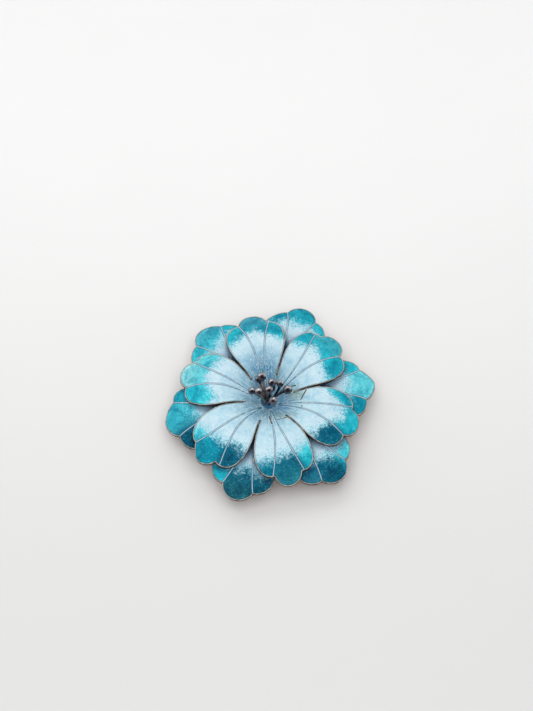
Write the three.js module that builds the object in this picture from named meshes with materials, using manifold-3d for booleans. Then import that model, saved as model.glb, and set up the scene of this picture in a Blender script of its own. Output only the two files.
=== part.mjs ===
// Enamelled flower pin: two stacked six-petal enamelled cups, a tuft of beaded stamens on a
// central rivet, and a bar-pin finding (hinged stem and roll-over catch) behind.
// Millimetres, +Z out of the face of the flower, the stem lies along X.
import * as THREE from 'three';
import { mergeVertices } from 'three/addons/utils/BufferGeometryUtils.js';
import Module from 'manifold-3d';

const wasm = await Module();
wasm.setup();
const { Manifold, Mesh: MMesh } = wasm;

// ---------------------------------------------------------------- driving dimensions
const PLATE_T = 0.4;          // copper petal plate
const ENAMEL_T = 0.35;        // enamel over the plate
const FIT = 0.09;             // gap left between neighbouring pieces
const RIM_W = 0.35;           // width of the silver edge wire
const RIM_PROUD = 0.12;       // how far the edge wire stands above the enamel
const VEIN_W = 0.26;          // width of the inlaid vein wire
const VEIN_PROUD = 0.10;
const GROOVE_HALF = 0.25;     // half width of the enamel groove that holds a vein wire
const GROOVE_D = 0.20;        // its depth
const R_ROOT = 7.2;           // radius where the slits between upper petals start
const SLIT_HALF = 0.16;       // half width of a slit at its root
const R_FLAT = 2.6;           // flat seat round the centre hole
const R_HOLE = 1.5;           // centre hole in both plates
const R_ENAMEL = 2.02;        // inner edge of the upper enamel, round the rivet head
const HEAD_R = 1.86;          // rivet head
const SV = 0.45;              // place of the veins across a petal
const VEIN_DEG = 4.6;         // angle of a vein at the slit root
const UPPER_PHASE = -18.2;    // degrees, axis of upper petal 1
const LOWER_PHASE = 11.5;     // degrees, axis of lower petal 1
const LOWER_SCALE = 1.165;    // lower petals against upper ones
const UPPER_CONVEX = 0.014;   // drop across a petal, per mm squared
const LOWER_CONVEX = 0.022;

const WIRE_R = 0.34;          // stamen wire
const BEAD_R = [1.20, 1.08, 1.02, 1.10, 1.10, 1.16, 1.02, 1.28, 1.14];           // beads brazed on their ends

const BAR_L = 31, BAR_W = 5, BAR_T = 0.8;     // bar of the pin finding
const STEM_R = 0.45;          // pin stem
const HINGE_X = -13, CATCH_X = 13;
const STEM_TIP_X = 18.5;
const HOUSING_RO = 2.1, HOUSING_RI = 1.62, HOUSING_L = 3.0, HOUSING_SLOT = 1.7;
const ROLLER_RO = 1.48, ROLLER_RI = 0.78, ROLLER_SLOT = 1.5;

// ---------------------------------------------------------------- flower surface
const ZU_R = [0, 2.6, 4, 7, 10, 13.5, 16, 18.5, 21, 23, 24.5, 26, 28];
const ZU_Z = [0, 0.05, 0.95, 2.9, 4.5, 5.4, 5.35, 4.75, 3.75, 2.7, 1.85, 0.85, -0.7];
const ZL_R = [0, 2.6, 5, 8, 11.8, 15, 18, 20.6, 23.6, 26.5, 29.5, 32];
const ZL_Z = [-1.9, -1.88, -1.25, -0.2, 1.05, 1.85, 2.1, 2.0, 1.4, 0.45, -0.9, -2.3];

// half outline of a petal beyond its widest point: tip lobe, notch, side lobe
const MID = [[0, 25.6], [1.05, 25.47], [2.05, 25.05], [2.95, 24.32], [3.55, 23.4], [3.85, 22.55]];
const SIDE = [[3.85, 22.55], [4.9, 22.45], [6.15, 21.9], [7.15, 20.85], [7.8, 19.3], [8.0, 17.4]];

const rad = (d) => d * Math.PI / 180;
const clamp = (v, a, b) => Math.min(b, Math.max(a, v));
const smooth = (a, b, x) => { const t = clamp((x - a) / (b - a), 0, 1); return t * t * (3 - 2 * t); };

function monotone(xs, ys) {
  const n = xs.length, h = [], d = [], m = new Array(n);
  for (let i = 0; i < n - 1; i++) { h.push(xs[i + 1] - xs[i]); d.push((ys[i + 1] - ys[i]) / h[i]); }
  m[0] = d[0]; m[n - 1] = d[n - 2];
  for (let i = 1; i < n - 1; i++) {
    if (d[i - 1] * d[i] <= 0) m[i] = 0;
    else {
      const w1 = 2 * h[i] + h[i - 1], w2 = h[i] + 2 * h[i - 1];
      m[i] = (w1 + w2) / (w1 / d[i - 1] + w2 / d[i]);
    }
  }
  return (x) => {
    let k = 0; while (k < n - 2 && x >= xs[k + 1]) k++;
    const t = (x - xs[k]) / h[k], t2 = t * t, t3 = t2 * t;
    return (2 * t3 - 3 * t2 + 1) * ys[k] + (t3 - 2 * t2 + t) * h[k] * m[k]
      + (-2 * t3 + 3 * t2) * ys[k + 1] + (t3 - t2) * h[k] * m[k + 1];
  };
}

function spline(P) {
  const n = P.length, d = [0], T = [];
  for (let i = 1; i < n; i++) d.push(d[i - 1] + Math.hypot(P[i][0] - P[i - 1][0], P[i][1] - P[i - 1][1]));
  const L = d[n - 1]; for (let i = 0; i < n; i++) d[i] /= L;
  for (let i = 0; i < n; i++) {
    const g = (a, b) => [(P[b][0] - P[a][0]) / (d[b] - d[a]), (P[b][1] - P[a][1]) / (d[b] - d[a])];
    if (i === 0) T.push(g(0, 1)); else if (i === n - 1) T.push(g(n - 2, n - 1));
    else { const a = g(i - 1, i), b = g(i, i + 1), w = (d[i + 1] - d[i]) / (d[i + 1] - d[i - 1]); T.push([w * a[0] + (1 - w) * b[0], w * a[1] + (1 - w) * b[1]]); }
  }
  return (u) => {
    let k = 0; while (k < n - 2 && u >= d[k + 1]) k++;
    const h = d[k + 1] - d[k], t = (u - d[k]) / h, t2 = t * t, t3 = t2 * t;
    return [0, 1].map((c) => (2 * t3 - 3 * t2 + 1) * P[k][c] + (t3 - 2 * t2 + t) * h * T[k][c]
      + (-2 * t3 + 3 * t2) * P[k + 1][c] + (t3 - t2) * h * T[k + 1][c]);
  };
}
const midCurve = spline(MID), sideCurve = spline(SIDE);
const profileUpper = monotone(ZU_R, ZU_Z), profileLower = monotone(ZL_R, ZL_Z);

// Each petal has its own small hand-made differences:
// turn (degrees), length factor, left/right notch place, left/right lobe width, tip lift (mm),
// left/right step from the notch to the vein's end, left/right filling of the notch (mm),
// left/right flattening of the tip lobe's shoulder (mm)
const UPPER_PETALS = [
  { turn: 0, len: 1, nl: 0.98, nr: 1.08, wl: 0.94, wr: 1.06, lift: 0, cl: 0.06, cr: 0, el: 0, er: 0, bl: 0, br: 0 },
  { turn: 0, len: 1.01, nl: 1.07, nr: 1.02, wl: 1, wr: 1.02, lift: 0.1, cl: 0.11, cr: 0, el: 0, er: -0.2, bl: 0, br: 0 },
  { turn: 0, len: 1, nl: 1, nr: 1.08, wl: 1, wr: 0.99, lift: 0, cl: 0, cr: 0.04, el: 0, er: 0, bl: 0, br: 0 },
  { turn: 0, len: 0.99, nl: 1.1, nr: 0.96, wl: 1.04, wr: 0.92, lift: 0, cl: 0, cr: 0, el: 0, er: 0, bl: 0, br: 0 },
  { turn: 0, len: 1.02, nl: 1.1, nr: 0.86, wl: 1.08, wr: 0.92, lift: 0, cl: 0.1, cr: 0, el: 0, er: 0.25, bl: 0, br: 0.7 },
  { turn: 1.2, len: 1, nl: 1.03, nr: 0.92, wl: 0.97, wr: 0.975, lift: 0, cl: 0.05, cr: 0.04, el: 0, er: 0, bl: 0, br: 0 },
];
const LOWER_PETALS = [
  { turn: 0, len: 1, nl: 0.92, nr: 1.04, wl: 0.87, wr: 0.94, lift: 0, cl: 0, cr: 0, el: 0.1, er: 0.1, bl: 0.6, br: 0.2 },
  { turn: -1.2, len: 1.015, nl: 0.9, nr: 0.97, wl: 1.02, wr: 0.87, lift: 0, cl: 0, cr: 0, el: 0.5, er: 0.15, bl: 0, br: 0 },
  { turn: -0.6, len: 0.968, nl: 0.98, nr: 1.12, wl: 0.97, wr: 0.97, lift: 0, cl: 0, cr: 0, el: 0.2, er: 0.5, bl: 0, br: 0.15 },
  { turn: 0.6, len: 0.965, nl: 1.12, nr: 1.2, wl: 1.02, wr: 0.97, lift: 0, cl: 0, cr: 0, el: 0.3, er: 0.1, bl: 0, br: 0.5 },
  { turn: 0, len: 0.99, nl: 1, nr: 0.96, wl: 0.96, wr: 0.96, lift: 0, cl: 0, cr: 0, el: 0.5, er: 0.15, bl: 0, br: 0 },
  { turn: 0, len: 0.995, nl: 0.96, nr: 1.02, wl: 0.95, wr: 0.95, lift: 0, cl: 0, cr: 0, el: 0.25, er: 0.5, bl: 0, br: 0 },
];

class Layer {
  constructor(name, phase, scale, convex, profile, petals) { Object.assign(this, { name, phase, scale, convex, profile, petals }); }
  rootDeg() { return 30 - SLIT_HALF / (R_ROOT * this.scale) * 180 / Math.PI; }
  // outline point of petal k beyond its widest place; s from -1 (left) to 1 (right)
  outline(k, s) {
    const p = this.petals[k], right = s > 0;
    const n = right ? p.nr : p.nl, w = right ? p.wr : p.wl;
    const c = right ? p.cr : p.cl, e = right ? p.er : p.el, b = right ? p.br : p.bl;
    let a = Math.abs(s); a += c * (a < SV ? a / SV : (1 - a) / (1 - SV));
    const q = a <= SV ? midCurve(a / SV) : sideCurve((a - SV) / (1 - SV));
    const f = a <= SV ? n : n + (w - n) * (a - SV) / (1 - SV);
    const y = q[1] + e * Math.exp(-(((a - SV) / 0.13) ** 2)) - b * Math.sin(Math.PI * Math.min(a / SV, 1));
    return [q[0] * f * (right ? 1 : -1), y];
  }
  // plan point in the petal's own axes (x to the right looking outward, y outward), template size
  // t from -1 (edge of the flat seat) through 0 (slit root) to 1 (outline)
  plan(k, s, t) {
    const a = Math.abs(s), sg = s < 0 ? -1 : 1;
    const deg = a <= SV ? VEIN_DEG * a / SV : VEIN_DEG + (this.rootDeg() - VEIN_DEG) * (a - SV) / (1 - SV);
    const an = rad(deg) * sg, d0 = [Math.sin(an), Math.cos(an)];
    if (t <= 0) { const r = R_ROOT + t * (R_ROOT - R_FLAT / this.scale); return [r * d0[0], r * d0[1]]; }
    const Q = [R_ROOT * d0[0], R_ROOT * d0[1]], P = this.outline(k, s);
    const w = clamp((a - SV) / (1 - SV), 0, 1), v = clamp(a / SV, 0, 1);
    const dx = (a <= SV ? 0.42 * v : 0.42 * (1 - w)) * sg, d1 = [dx, Math.sqrt(1 - dx * dx)];
    const L = Math.hypot(P[0] - Q[0], P[1] - Q[1]);
    const C1 = [Q[0] + d0[0] * L * 0.33, Q[1] + d0[1] * L * 0.33], C2 = [P[0] - d1[0] * L * 0.31, P[1] - d1[1] * L * 0.31];
    const u = 1 - t;
    return [0, 1].map((c) => u * u * u * Q[c] + 3 * u * u * t * C1[c] + 3 * u * t * t * C2[c] + t * t * t * P[c]);
  }
  // the same point in the flower's axes, with h added to the height of the enamel surface
  at(k, x, y, h) {
    const S = this.scale, p = this.petals[k];
    x *= S; y *= S;
    const r = Math.hypot(x, y), w = smooth(R_ROOT * S, R_ROOT * S * 1.9, r);
    const z = this.profile(r) - this.convex * x * x * smooth(R_ROOT * S * 0.8, R_ROOT * S * 2.2, r) + p.lift * smooth(R_ROOT * S, 25 * S, r);
    const th = rad(this.phase + 60 * k + p.turn * w) - Math.atan2(x, y), rr = r * (1 + (p.len - 1) * w);
    return [rr * Math.cos(th), rr * Math.sin(th), z + h];
  }
}
const upper = new Layer('upper', UPPER_PHASE, 1, UPPER_CONVEX, profileUpper, UPPER_PETALS);
const lower = new Layer('lower', LOWER_PHASE, LOWER_SCALE, LOWER_CONVEX, profileLower, LOWER_PETALS);

const H_PLATE_TOP = -(ENAMEL_T + FIT), H_PLATE_BOT = H_PLATE_TOP - PLATE_T;

// ---------------------------------------------------------------- mesh helpers
class Builder {
  constructor() { this.v = []; this.f = []; }
  vert(p) { this.v.push(p); return this.v.length - 1; }
  tri(a, b, c) { this.f.push([a, b, c]); }
  quad(a, b, c, d) { this.tri(a, b, c); this.tri(a, c, d); }
  geometry() {
    const pos = new Float32Array(this.f.length * 9); let i = 0;
    for (const f of this.f) for (const k of f) { pos[i++] = this.v[k][0]; pos[i++] = this.v[k][1]; pos[i++] = this.v[k][2]; }
    const g = new THREE.BufferGeometry(); g.setAttribute('position', new THREE.BufferAttribute(pos, 3));
    return finishGeometry(g);
  }
}
function finishGeometry(g) {
  g = g.clone(); for (const k of Object.keys(g.attributes)) if (k !== 'position') g.deleteAttribute(k);
  g = mergeVertices(g, 1e-4);
  const p = g.attributes.position, ix = g.index.array; let vol = 0;
  const A = new THREE.Vector3(), B = new THREE.Vector3(), C = new THREE.Vector3();
  for (let i = 0; i < ix.length; i += 3) { A.fromBufferAttribute(p, ix[i]); B.fromBufferAttribute(p, ix[i + 1]); C.fromBufferAttribute(p, ix[i + 2]); vol += A.dot(B.cross(C)); }
  if (vol < 0) for (let i = 0; i < ix.length; i += 3) { const t = ix[i]; ix[i] = ix[i + 1]; ix[i + 1] = t; }
  g.computeVertexNormals();
  return g;
}
const solid = (g) => { g = finishGeometry(g); return new Manifold(new MMesh({ numProp: 3, vertProperties: g.attributes.position.array, triVerts: new Uint32Array(g.index.array) })); };
function fromSolid(m) {
  const q = m.getMesh(), g = new THREE.BufferGeometry();
  g.setAttribute('position', new THREE.BufferAttribute(new Float32Array(q.vertProperties), 3));
  g.setIndex(new THREE.BufferAttribute(new Uint32Array(q.triVerts), 1));
  g.computeVertexNormals(); return g;
}
// closed ring of sections joined into one solid, with flat ends
function loft(sections) {
  const b = new Builder(), n = sections[0].length;
  const idx = sections.map((s) => s.map((p) => b.vert(p)));
  for (let i = 0; i + 1 < idx.length; i++) for (let j = 0; j < n; j++) {
    const k = (j + 1) % n; b.quad(idx[i][j], idx[i + 1][j], idx[i + 1][k], idx[i][k]);
  }
  for (let j = 1; j + 1 < n; j++) { b.tri(idx[0][0], idx[0][j], idx[0][j + 1]); const e = idx[idx.length - 1]; b.tri(e[0], e[j + 1], e[j]); }
  return b.geometry();
}

// sheet of cells with a flat-bottomed channel where low(i, j) is true
function sheet(P, top, bottom, depth, low) {
  const ni = P.length, nj = P[0].length, b = new Builder();
  const B = [], H = [], L = [];
  const cellLow = (i, j) => i >= 0 && j >= 0 && i < ni - 1 && j < nj - 1 && low(i, j);
  for (let i = 0; i < ni; i++) {
    B.push([]); H.push([]); L.push([]);
    for (let j = 0; j < nj; j++) {
      B[i].push(b.vert(bottom(P[i][j]))); H[i].push(b.vert(top(P[i][j], 0)));
      const anyLow = cellLow(i, j) || cellLow(i - 1, j) || cellLow(i, j - 1) || cellLow(i - 1, j - 1);
      L[i].push(anyLow ? b.vert(top(P[i][j], -depth)) : -1);
    }
  }
  const wall = (i0, j0, i1, j1, isLow) => { // boundary wall, seen from outside running i0,j0 -> i1,j1
    const T = isLow ? L : H, a = T[i0][j0], c = T[i1][j1], Ba = B[i0][j0], Bc = B[i1][j1];
    const la = !isLow && L[i0][j0] >= 0 ? L[i0][j0] : -1, lc = !isLow && L[i1][j1] >= 0 ? L[i1][j1] : -1;
    if (la >= 0 && lc >= 0) { b.quad(a, la, lc, c); b.quad(la, Ba, Bc, lc); }
    else if (lc >= 0) { b.tri(a, lc, c); b.tri(a, Bc, lc); b.tri(a, Ba, Bc); }
    else if (la >= 0) { b.tri(c, a, la); b.tri(c, la, Ba); b.tri(c, Ba, Bc); }
    else b.quad(a, Ba, Bc, c);
  };
  for (let i = 0; i < ni - 1; i++) for (let j = 0; j < nj - 1; j++) {
    const lo = cellLow(i, j), T = lo ? L : H;
    b.quad(T[i][j], T[i + 1][j], T[i + 1][j + 1], T[i][j + 1]);
    b.quad(B[i][j], B[i][j + 1], B[i + 1][j + 1], B[i + 1][j]);
    if (j === 0) wall(i, 0, i + 1, 0, lo);
    if (j === nj - 2) wall(i + 1, nj - 1, i, nj - 1, lo);
    if (i === 0) wall(0, j + 1, 0, j, lo);
    if (i === ni - 2) wall(ni - 1, j, ni - 1, j + 1, lo);
    if (i < ni - 2 && lo !== cellLow(i + 1, j)) {
      const q = [H[i + 1][j], H[i + 1][j + 1], L[i + 1][j + 1], L[i + 1][j]];
      if (lo) b.quad(q[0], q[1], q[2], q[3]); else b.quad(q[3], q[2], q[1], q[0]);
    }
    if (j < nj - 2 && lo !== cellLow(i, j + 1)) {
      const q = [H[i][j + 1], H[i + 1][j + 1], L[i + 1][j + 1], L[i][j + 1]];
      if (lo) b.quad(q[3], q[2], q[1], q[0]); else b.quad(q[0], q[1], q[2], q[3]);
    }
  }
  return b.geometry();
}

// ---------------------------------------------------------------- petals
const S_LINES = [-1, -0.8, -0.62, -SV, -0.22, 0, 0.22, SV, 0.62, 0.8, 1];
const T_LINES = [0, 0.4, 0.72, 1];

// boundary of petal k from its left slit root round the tip to its right slit root, template plan
function boundary(layer, k) {
  const out = [];
  for (const t of T_LINES) out.push(layer.plan(k, -1, t));
  for (const s of S_LINES.slice(1, -1)) out.push(layer.plan(k, s, 1));
  for (const t of [...T_LINES].reverse()) out.push(layer.plan(k, 1, t));
  return out;
}
function inset(P, w) { // offset towards the inside of the petal (the outline runs clockwise in these axes)
  return P.map((p, i) => {
    const a = P[Math.max(0, i - 1)], c = P[Math.min(P.length - 1, i + 1)];
    const e1 = [p[0] - a[0], p[1] - a[1]], e2 = [c[0] - p[0], c[1] - p[1]];
    const u1 = Math.hypot(...e1) || 1, u2 = Math.hypot(...e2) || 1;
    const n1 = [e1[1] / u1, -e1[0] / u1], n2 = [e2[1] / u2, -e2[0] / u2];
    const n = i === 0 ? n2 : i === P.length - 1 ? n1 : [n1[0] + n2[0], n1[1] + n2[1]];
    const l = Math.hypot(...n), q = [n[0] / l, n[1] / l];
    const m = i === 0 || i === P.length - 1 ? 1 : 1 / Math.max(0.6, q[0] * n1[0] + q[1] * n1[1]);
    return [p[0] + q[0] * w * m, p[1] + q[1] * w * m];
  });
}

function plate(layer) {
  const b = new Builder(), S = layer.scale, N = S_LINES.length;
  const grid = [];
  for (let k = 0; k < 6; k++) {
    const g = { top: [], bot: [] };
    for (const s of S_LINES) {
      const tt = [], bb = [];
      for (const t of T_LINES) { const [x, y] = layer.plan(k, s, t); tt.push(b.vert(layer.at(k, x, y, H_PLATE_TOP))); bb.push(b.vert(layer.at(k, x, y, H_PLATE_BOT))); }
      g.top.push(tt); g.bot.push(bb);
    }
    for (let i = 0; i < N - 1; i++) for (let j = 0; j < T_LINES.length - 1; j++) {
      b.quad(g.top[i][j], g.top[i + 1][j], g.top[i + 1][j + 1], g.top[i][j + 1]);
      b.quad(g.bot[i][j], g.bot[i][j + 1], g.bot[i + 1][j + 1], g.bot[i + 1][j]);
    }
    for (let j = 0; j < T_LINES.length - 1; j++) {
      b.quad(g.top[0][j + 1], g.bot[0][j + 1], g.bot[0][j], g.top[0][j]);
      b.quad(g.top[N - 1][j], g.bot[N - 1][j], g.bot[N - 1][j + 1], g.top[N - 1][j + 1]);
    }
    const J = T_LINES.length - 1;
    for (let i = 0; i < N - 1; i++) b.quad(g.top[i + 1][J], g.bot[i + 1][J], g.bot[i][J], g.top[i][J]);
    grid.push(g);
  }
  // dish: two seat rings of 12 points, the outer one joined to the petal roots
  const ring = (r, h) => { const o = []; for (let i = 0; i < 12; i++) { const a = rad(layer.phase - 30 + i * 30); o.push(b.vert([r * Math.cos(a), r * Math.sin(a), layer.profile(Math.min(r, R_FLAT)) + h])); } return o; };
  const f = [ring(R_FLAT, H_PLATE_TOP), ring(R_FLAT, H_PLATE_BOT)], h = [ring(R_HOLE, H_PLATE_TOP), ring(R_HOLE, H_PLATE_BOT)];
  for (let i = 0; i < 12; i++) {
    const n = (i + 1) % 12;
    b.quad(h[0][i], f[0][i], f[0][n], h[0][n]);
    b.quad(h[1][n], f[1][n], f[1][i], h[1][i]);
    b.quad(h[0][n], h[1][n], h[1][i], h[0][i]);
  }
  for (let k = 0; k < 6; k++) {
    const g = grid[k], nx = grid[(k + 1) % 6];
    // petal k spans seat points 2k (its right side) to 2k+2 (its left side), its axis is point 2k+1
    const A = 2 * k, M = 2 * k + 1, Z = (2 * k + 2) % 12, mid = (N - 1) / 2;
    for (const [lay, key, flip] of [[0, 'top', false], [1, 'bot', true]]) {
      const R = (a, c, d) => flip ? b.tri(a, d, c) : b.tri(a, c, d), seat = f[lay];
      for (let i = N - 1; i > mid; i--) { // right half, from slit root to axis
        R(seat[i > mid + (N - 1 - mid) / 2 ? A : M], g[key][i][0], g[key][i - 1][0]);
        if (i === Math.floor(mid + (N - 1 - mid) / 2) + 1) R(seat[A], g[key][i - 1][0], seat[M]);
      }
      for (let i = mid; i > 0; i--) {
        R(seat[i > mid / 2 ? M : Z], g[key][i][0], g[key][i - 1][0]);
        if (i === Math.floor(mid / 2) + 1) R(seat[M], g[key][i - 1][0], seat[Z]);
      }
      // bridge across the slit root to the next petal's right side
      R(seat[Z], g[key][0][0], nx[key][N - 1][0]);
    }
    b.quad(g.top[0][0], g.bot[0][0], nx.bot[N - 1][0], nx.top[N - 1][0]);
  }
  return b.geometry();
}

// enamel of one petal, inside its edge wire, with the channel for the vein wire
const T_A = 0.05, T_B = 0.075;
function veinLine(layer, k, side, t, off) { // off > 0 away from the petal's axis
  const e = 0.01, p = layer.plan(k, side * SV, t), q = layer.plan(k, side * SV, Math.min(1, t + e)), o = layer.plan(k, side * SV, Math.min(1, t + e) - e);
  const d = [q[0] - o[0], q[1] - o[1]], l = Math.hypot(...d);
  return [p[0] + side * off * d[1] / l, p[1] - side * off * d[0] / l];
}
function enamel(layer, k, dish) {
  const T_IN = -(R_ROOT - R_ENAMEL) / (R_ROOT - R_FLAT);
  const rows = dish ? [T_IN, 0, T_A, T_B, 0.4, 0.72, 1] : [0, T_A, T_B, 0.4, 0.72, 1], S = layer.scale;
  const lines = [-1, -0.8, -0.62, ['v', -1, 1], ['v', -1, -1], -0.22, 0, 0.22, ['v', 1, -1], ['v', 1, 1], 0.62, 0.8, 1];
  const full = inset(boundary(layer, k), (RIM_W + FIT) / S), nb = full.length;
  const edge = { '-1': [full[0], full[1], full[2], full[3]], '1': [full[nb - 1], full[nb - 2], full[nb - 3], full[nb - 4]] };
  const along = (side, t) => { // inset slit edge at t
    const E = edge[side], n = T_LINES.length;
    for (let i = 0; i + 1 < n; i++) if (t <= T_LINES[i + 1] + 1e-9) {
      if (Math.abs(t - T_LINES[i]) < 1e-9) return E[i];
      if (Math.abs(t - T_LINES[i + 1]) < 1e-9) return E[i + 1];
      const u = (t - T_LINES[i]) / (T_LINES[i + 1] - T_LINES[i]), w = inset([layer.plan(k, side, t - 0.01), layer.plan(k, side, t), layer.plan(k, side, t + 0.01)].map((p) => [p[0], p[1]]), (RIM_W + FIT) / S * (side < 0 ? 1 : -1));
      return w[1];
    }
  };
  const P = lines.map((s) => rows.map((t) => {
    if (Array.isArray(s)) {
      const half = (t >= T_A ? GROOVE_HALF : t >= 0 ? 0.15 : 0.04) / S;
      let p = veinLine(layer, k, s[1], Math.max(t, 0), half * s[2]);
      if (t < 0) { const a = rad(VEIN_DEG) * s[1], r = R_ENAMEL / S; p = [r * Math.sin(a) + s[1] * s[2] * half, r * Math.cos(a)]; }
      if (t === 1) { const dir = s[1] < 0 ? full[6] : full[nb - 7]; p = [dir[0] + s[1] * s[2] * half, dir[1]]; }
      return p;
    }
    if (Math.abs(s) === 1) {
      if (t < 0) { const a = rad(30) * s, r = R_ENAMEL / S; return [r * Math.sin(a) - s * 0.06 / S, r * Math.cos(a)]; }
      return along(s, t);
    }
    if (t === 1) return full[T_LINES.length - 1 + S_LINES.indexOf(s)];
    return layer.plan(k, s, t);
  }));
  const ja = rows.indexOf(T_A), jb = rows.indexOf(T_B);
  const low = (i, j) => (j >= ja && (i === 3 || i === 8)) || (j === ja && i >= 3 && i <= 8);
  return sheet(P, (p, d) => layer.at(k, p[0], p[1], d), (p) => layer.at(k, p[0], p[1], -ENAMEL_T), GROOVE_D, low);
}

function rimWire(layer, k) {
  const O = boundary(layer, k), I = inset(O, RIM_W / layer.scale);
  const lo = H_PLATE_TOP + FIT, hi = RIM_PROUD;
  return loft(O.map((p, i) => [layer.at(k, ...p, lo), layer.at(k, ...p, hi), layer.at(k, ...I[i], hi), layer.at(k, ...I[i], lo)]));
}

// hairpin wire: out along one vein and back along the other
function veinWire(layer, k) {
  const S = layer.scale, hw = VEIN_W / 2 / S, path = [];
  const rows = [1 - 0.04, 0.72, 0.4, T_B + 0.02];
  for (const t of rows) path.push([veinLine(layer, k, -1, t, hw), veinLine(layer, k, -1, t, -hw)]);
  const c = (T_A + T_B) / 2, gap = 0.13;
  const y0 = (t) => layer.plan(k, 0, t)[1];
  const yo = y0(T_A) + 0.07 / S, yi = y0(T_B) - 0.07 / S;
  const xl = veinLine(layer, k, -1, T_B, 0)[0], xr = veinLine(layer, k, 1, T_B, 0)[0];
  path.push([[xl - hw, yo], [xl + hw, yi]]);
  path.push([[xr + hw, yo], [xr - hw, yi]]);
  for (const t of [...rows].reverse()) path.push([veinLine(layer, k, 1, t, hw), veinLine(layer, k, 1, t, -hw)]);
  const lo = -GROOVE_D + 0.07, hi = VEIN_PROUD;
  return loft(path.map(([o, i]) => [layer.at(k, ...o, lo), layer.at(k, ...o, hi), layer.at(k, ...i, hi), layer.at(k, ...i, lo)]));
}

// ---------------------------------------------------------------- stamens
// ball centres (x, y, z) above the middle of the cup
const BEADS = [
  [-1.8, 3.45, 9.1], [-2.65, 3.65, 6.8], [-4.45, -0.3, 7.9], [-2.6, -1.1, 9.2], [0.15, -0.8, 9.7],
  [0.95, 1.95, 8.5], [3.1, 1.95, 7.7], [5.1, 0.4, 7.2], [1.2, -2.85, 7.2],
];
const WIRE_RING = 1.06;        // eight wires stand in a ring on the rivet head, the ninth in its middle
const WIRE_X = -0.35;          // the ring sits a little to one side
const WIRE_TWIST = 32;         // degrees, twist of the bundle over its first two millimetres
const WIRE_ANGLE = [112.5, 157.5, 202.5, 247.5, null, 67.5, 22.5, -22.5, -67.5];
const WIRE_BEND = { 5: [[0.25, 1.15, 2.3], [1.5, 1.55, 5.4]], 6: [[1.75, 0.95, 2.0], [2.65, 1.35, 5.0]], 3: [[-0.95, -1.05, 2.2], [-1.6, -1.2, 5.4]] };
const HEAD_TOP = 0.08;
function stamen(i) {
  const [bx, by, bz] = BEADS[i], deg = WIRE_ANGLE[i], ring = deg === null ? 0 : WIRE_RING;
  const a = rad((deg || 0) - WIRE_TWIST), at = rad(deg || 0);
  const base = new THREE.Vector3(WIRE_X + ring * Math.cos(a), ring * Math.sin(a), HEAD_TOP + 0.06);
  const head = new THREE.Vector3(bx, by, bz);
  const m1 = new THREE.Vector3(WIRE_X + ring * Math.cos(at), ring * Math.sin(at), base.z + 2.2);
  const m2 = new THREE.Vector3();
  if (WIRE_BEND[i]) { m1.set(...WIRE_BEND[i][0]); m2.set(...WIRE_BEND[i][1]); }
  const dir = head.clone().sub(WIRE_BEND[i] ? m2 : m1).normalize();
  const end = head.clone().addScaledVector(dir, -BEAD_R[i] * 0.4);
  if (!WIRE_BEND[i]) m2.copy(m1).lerp(end, 0.45).add(new THREE.Vector3(0, 0, 0.35));
  const pts = [base, m1, m2, end];
  const curve = new THREE.CatmullRomCurve3(pts);
  const n = 6, sides = 6, sec = [];
  for (let j = 0; j <= n; j++) {
    const p = curve.getPointAt(j / n), t = j === 0 ? new THREE.Vector3(0, 0, 1) : curve.getTangentAt(j / n);
    const u = new THREE.Vector3(Math.cos(at), Math.sin(at), 0); u.addScaledVector(t, -u.dot(t)).normalize();
    const w = new THREE.Vector3().crossVectors(t, u);
    const ringPts = [];
    for (let q = 0; q < sides; q++) { const g = q / sides * 2 * Math.PI; const c = p.clone().addScaledVector(u, WIRE_R * Math.cos(g)).addScaledVector(w, WIRE_R * Math.sin(g)); ringPts.push([c.x, c.y, c.z]); }
    sec.push(ringPts);
  }
  const ball = new THREE.SphereGeometry(BEAD_R[i], 9, 7); ball.translate(bx, by, bz);
  return fromSolid(solid(loft(sec)).add(solid(ball)));
}

// ---------------------------------------------------------------- turned and bent fittings
function lathe(profile, n, phase = 0) { return new THREE.LatheGeometry(profile.map(([r, z]) => new THREE.Vector2(r, z)), n, phase).rotateX(Math.PI / 2); }
function box(x0, x1, y0, y1, z0, z1) { const g = new THREE.BoxGeometry(x1 - x0, y1 - y0, z1 - z0); g.translate((x0 + x1) / 2, (y0 + y1) / 2, (z0 + z1) / 2); return g; }
function rod(r, x0, x1, axis, n, cx = 0, cy = 0, cz = 0) { // straight rod along 'x' or 'y'
  const g = new THREE.CylinderGeometry(r, r, x1 - x0, n); g.rotateY(Math.PI / n);
  if (axis === 'x') g.rotateZ(-Math.PI / 2);
  const m = (x0 + x1) / 2; g.translate(axis === 'x' ? m : cx, axis === 'y' ? m : cy, cz); return g;
}
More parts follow.
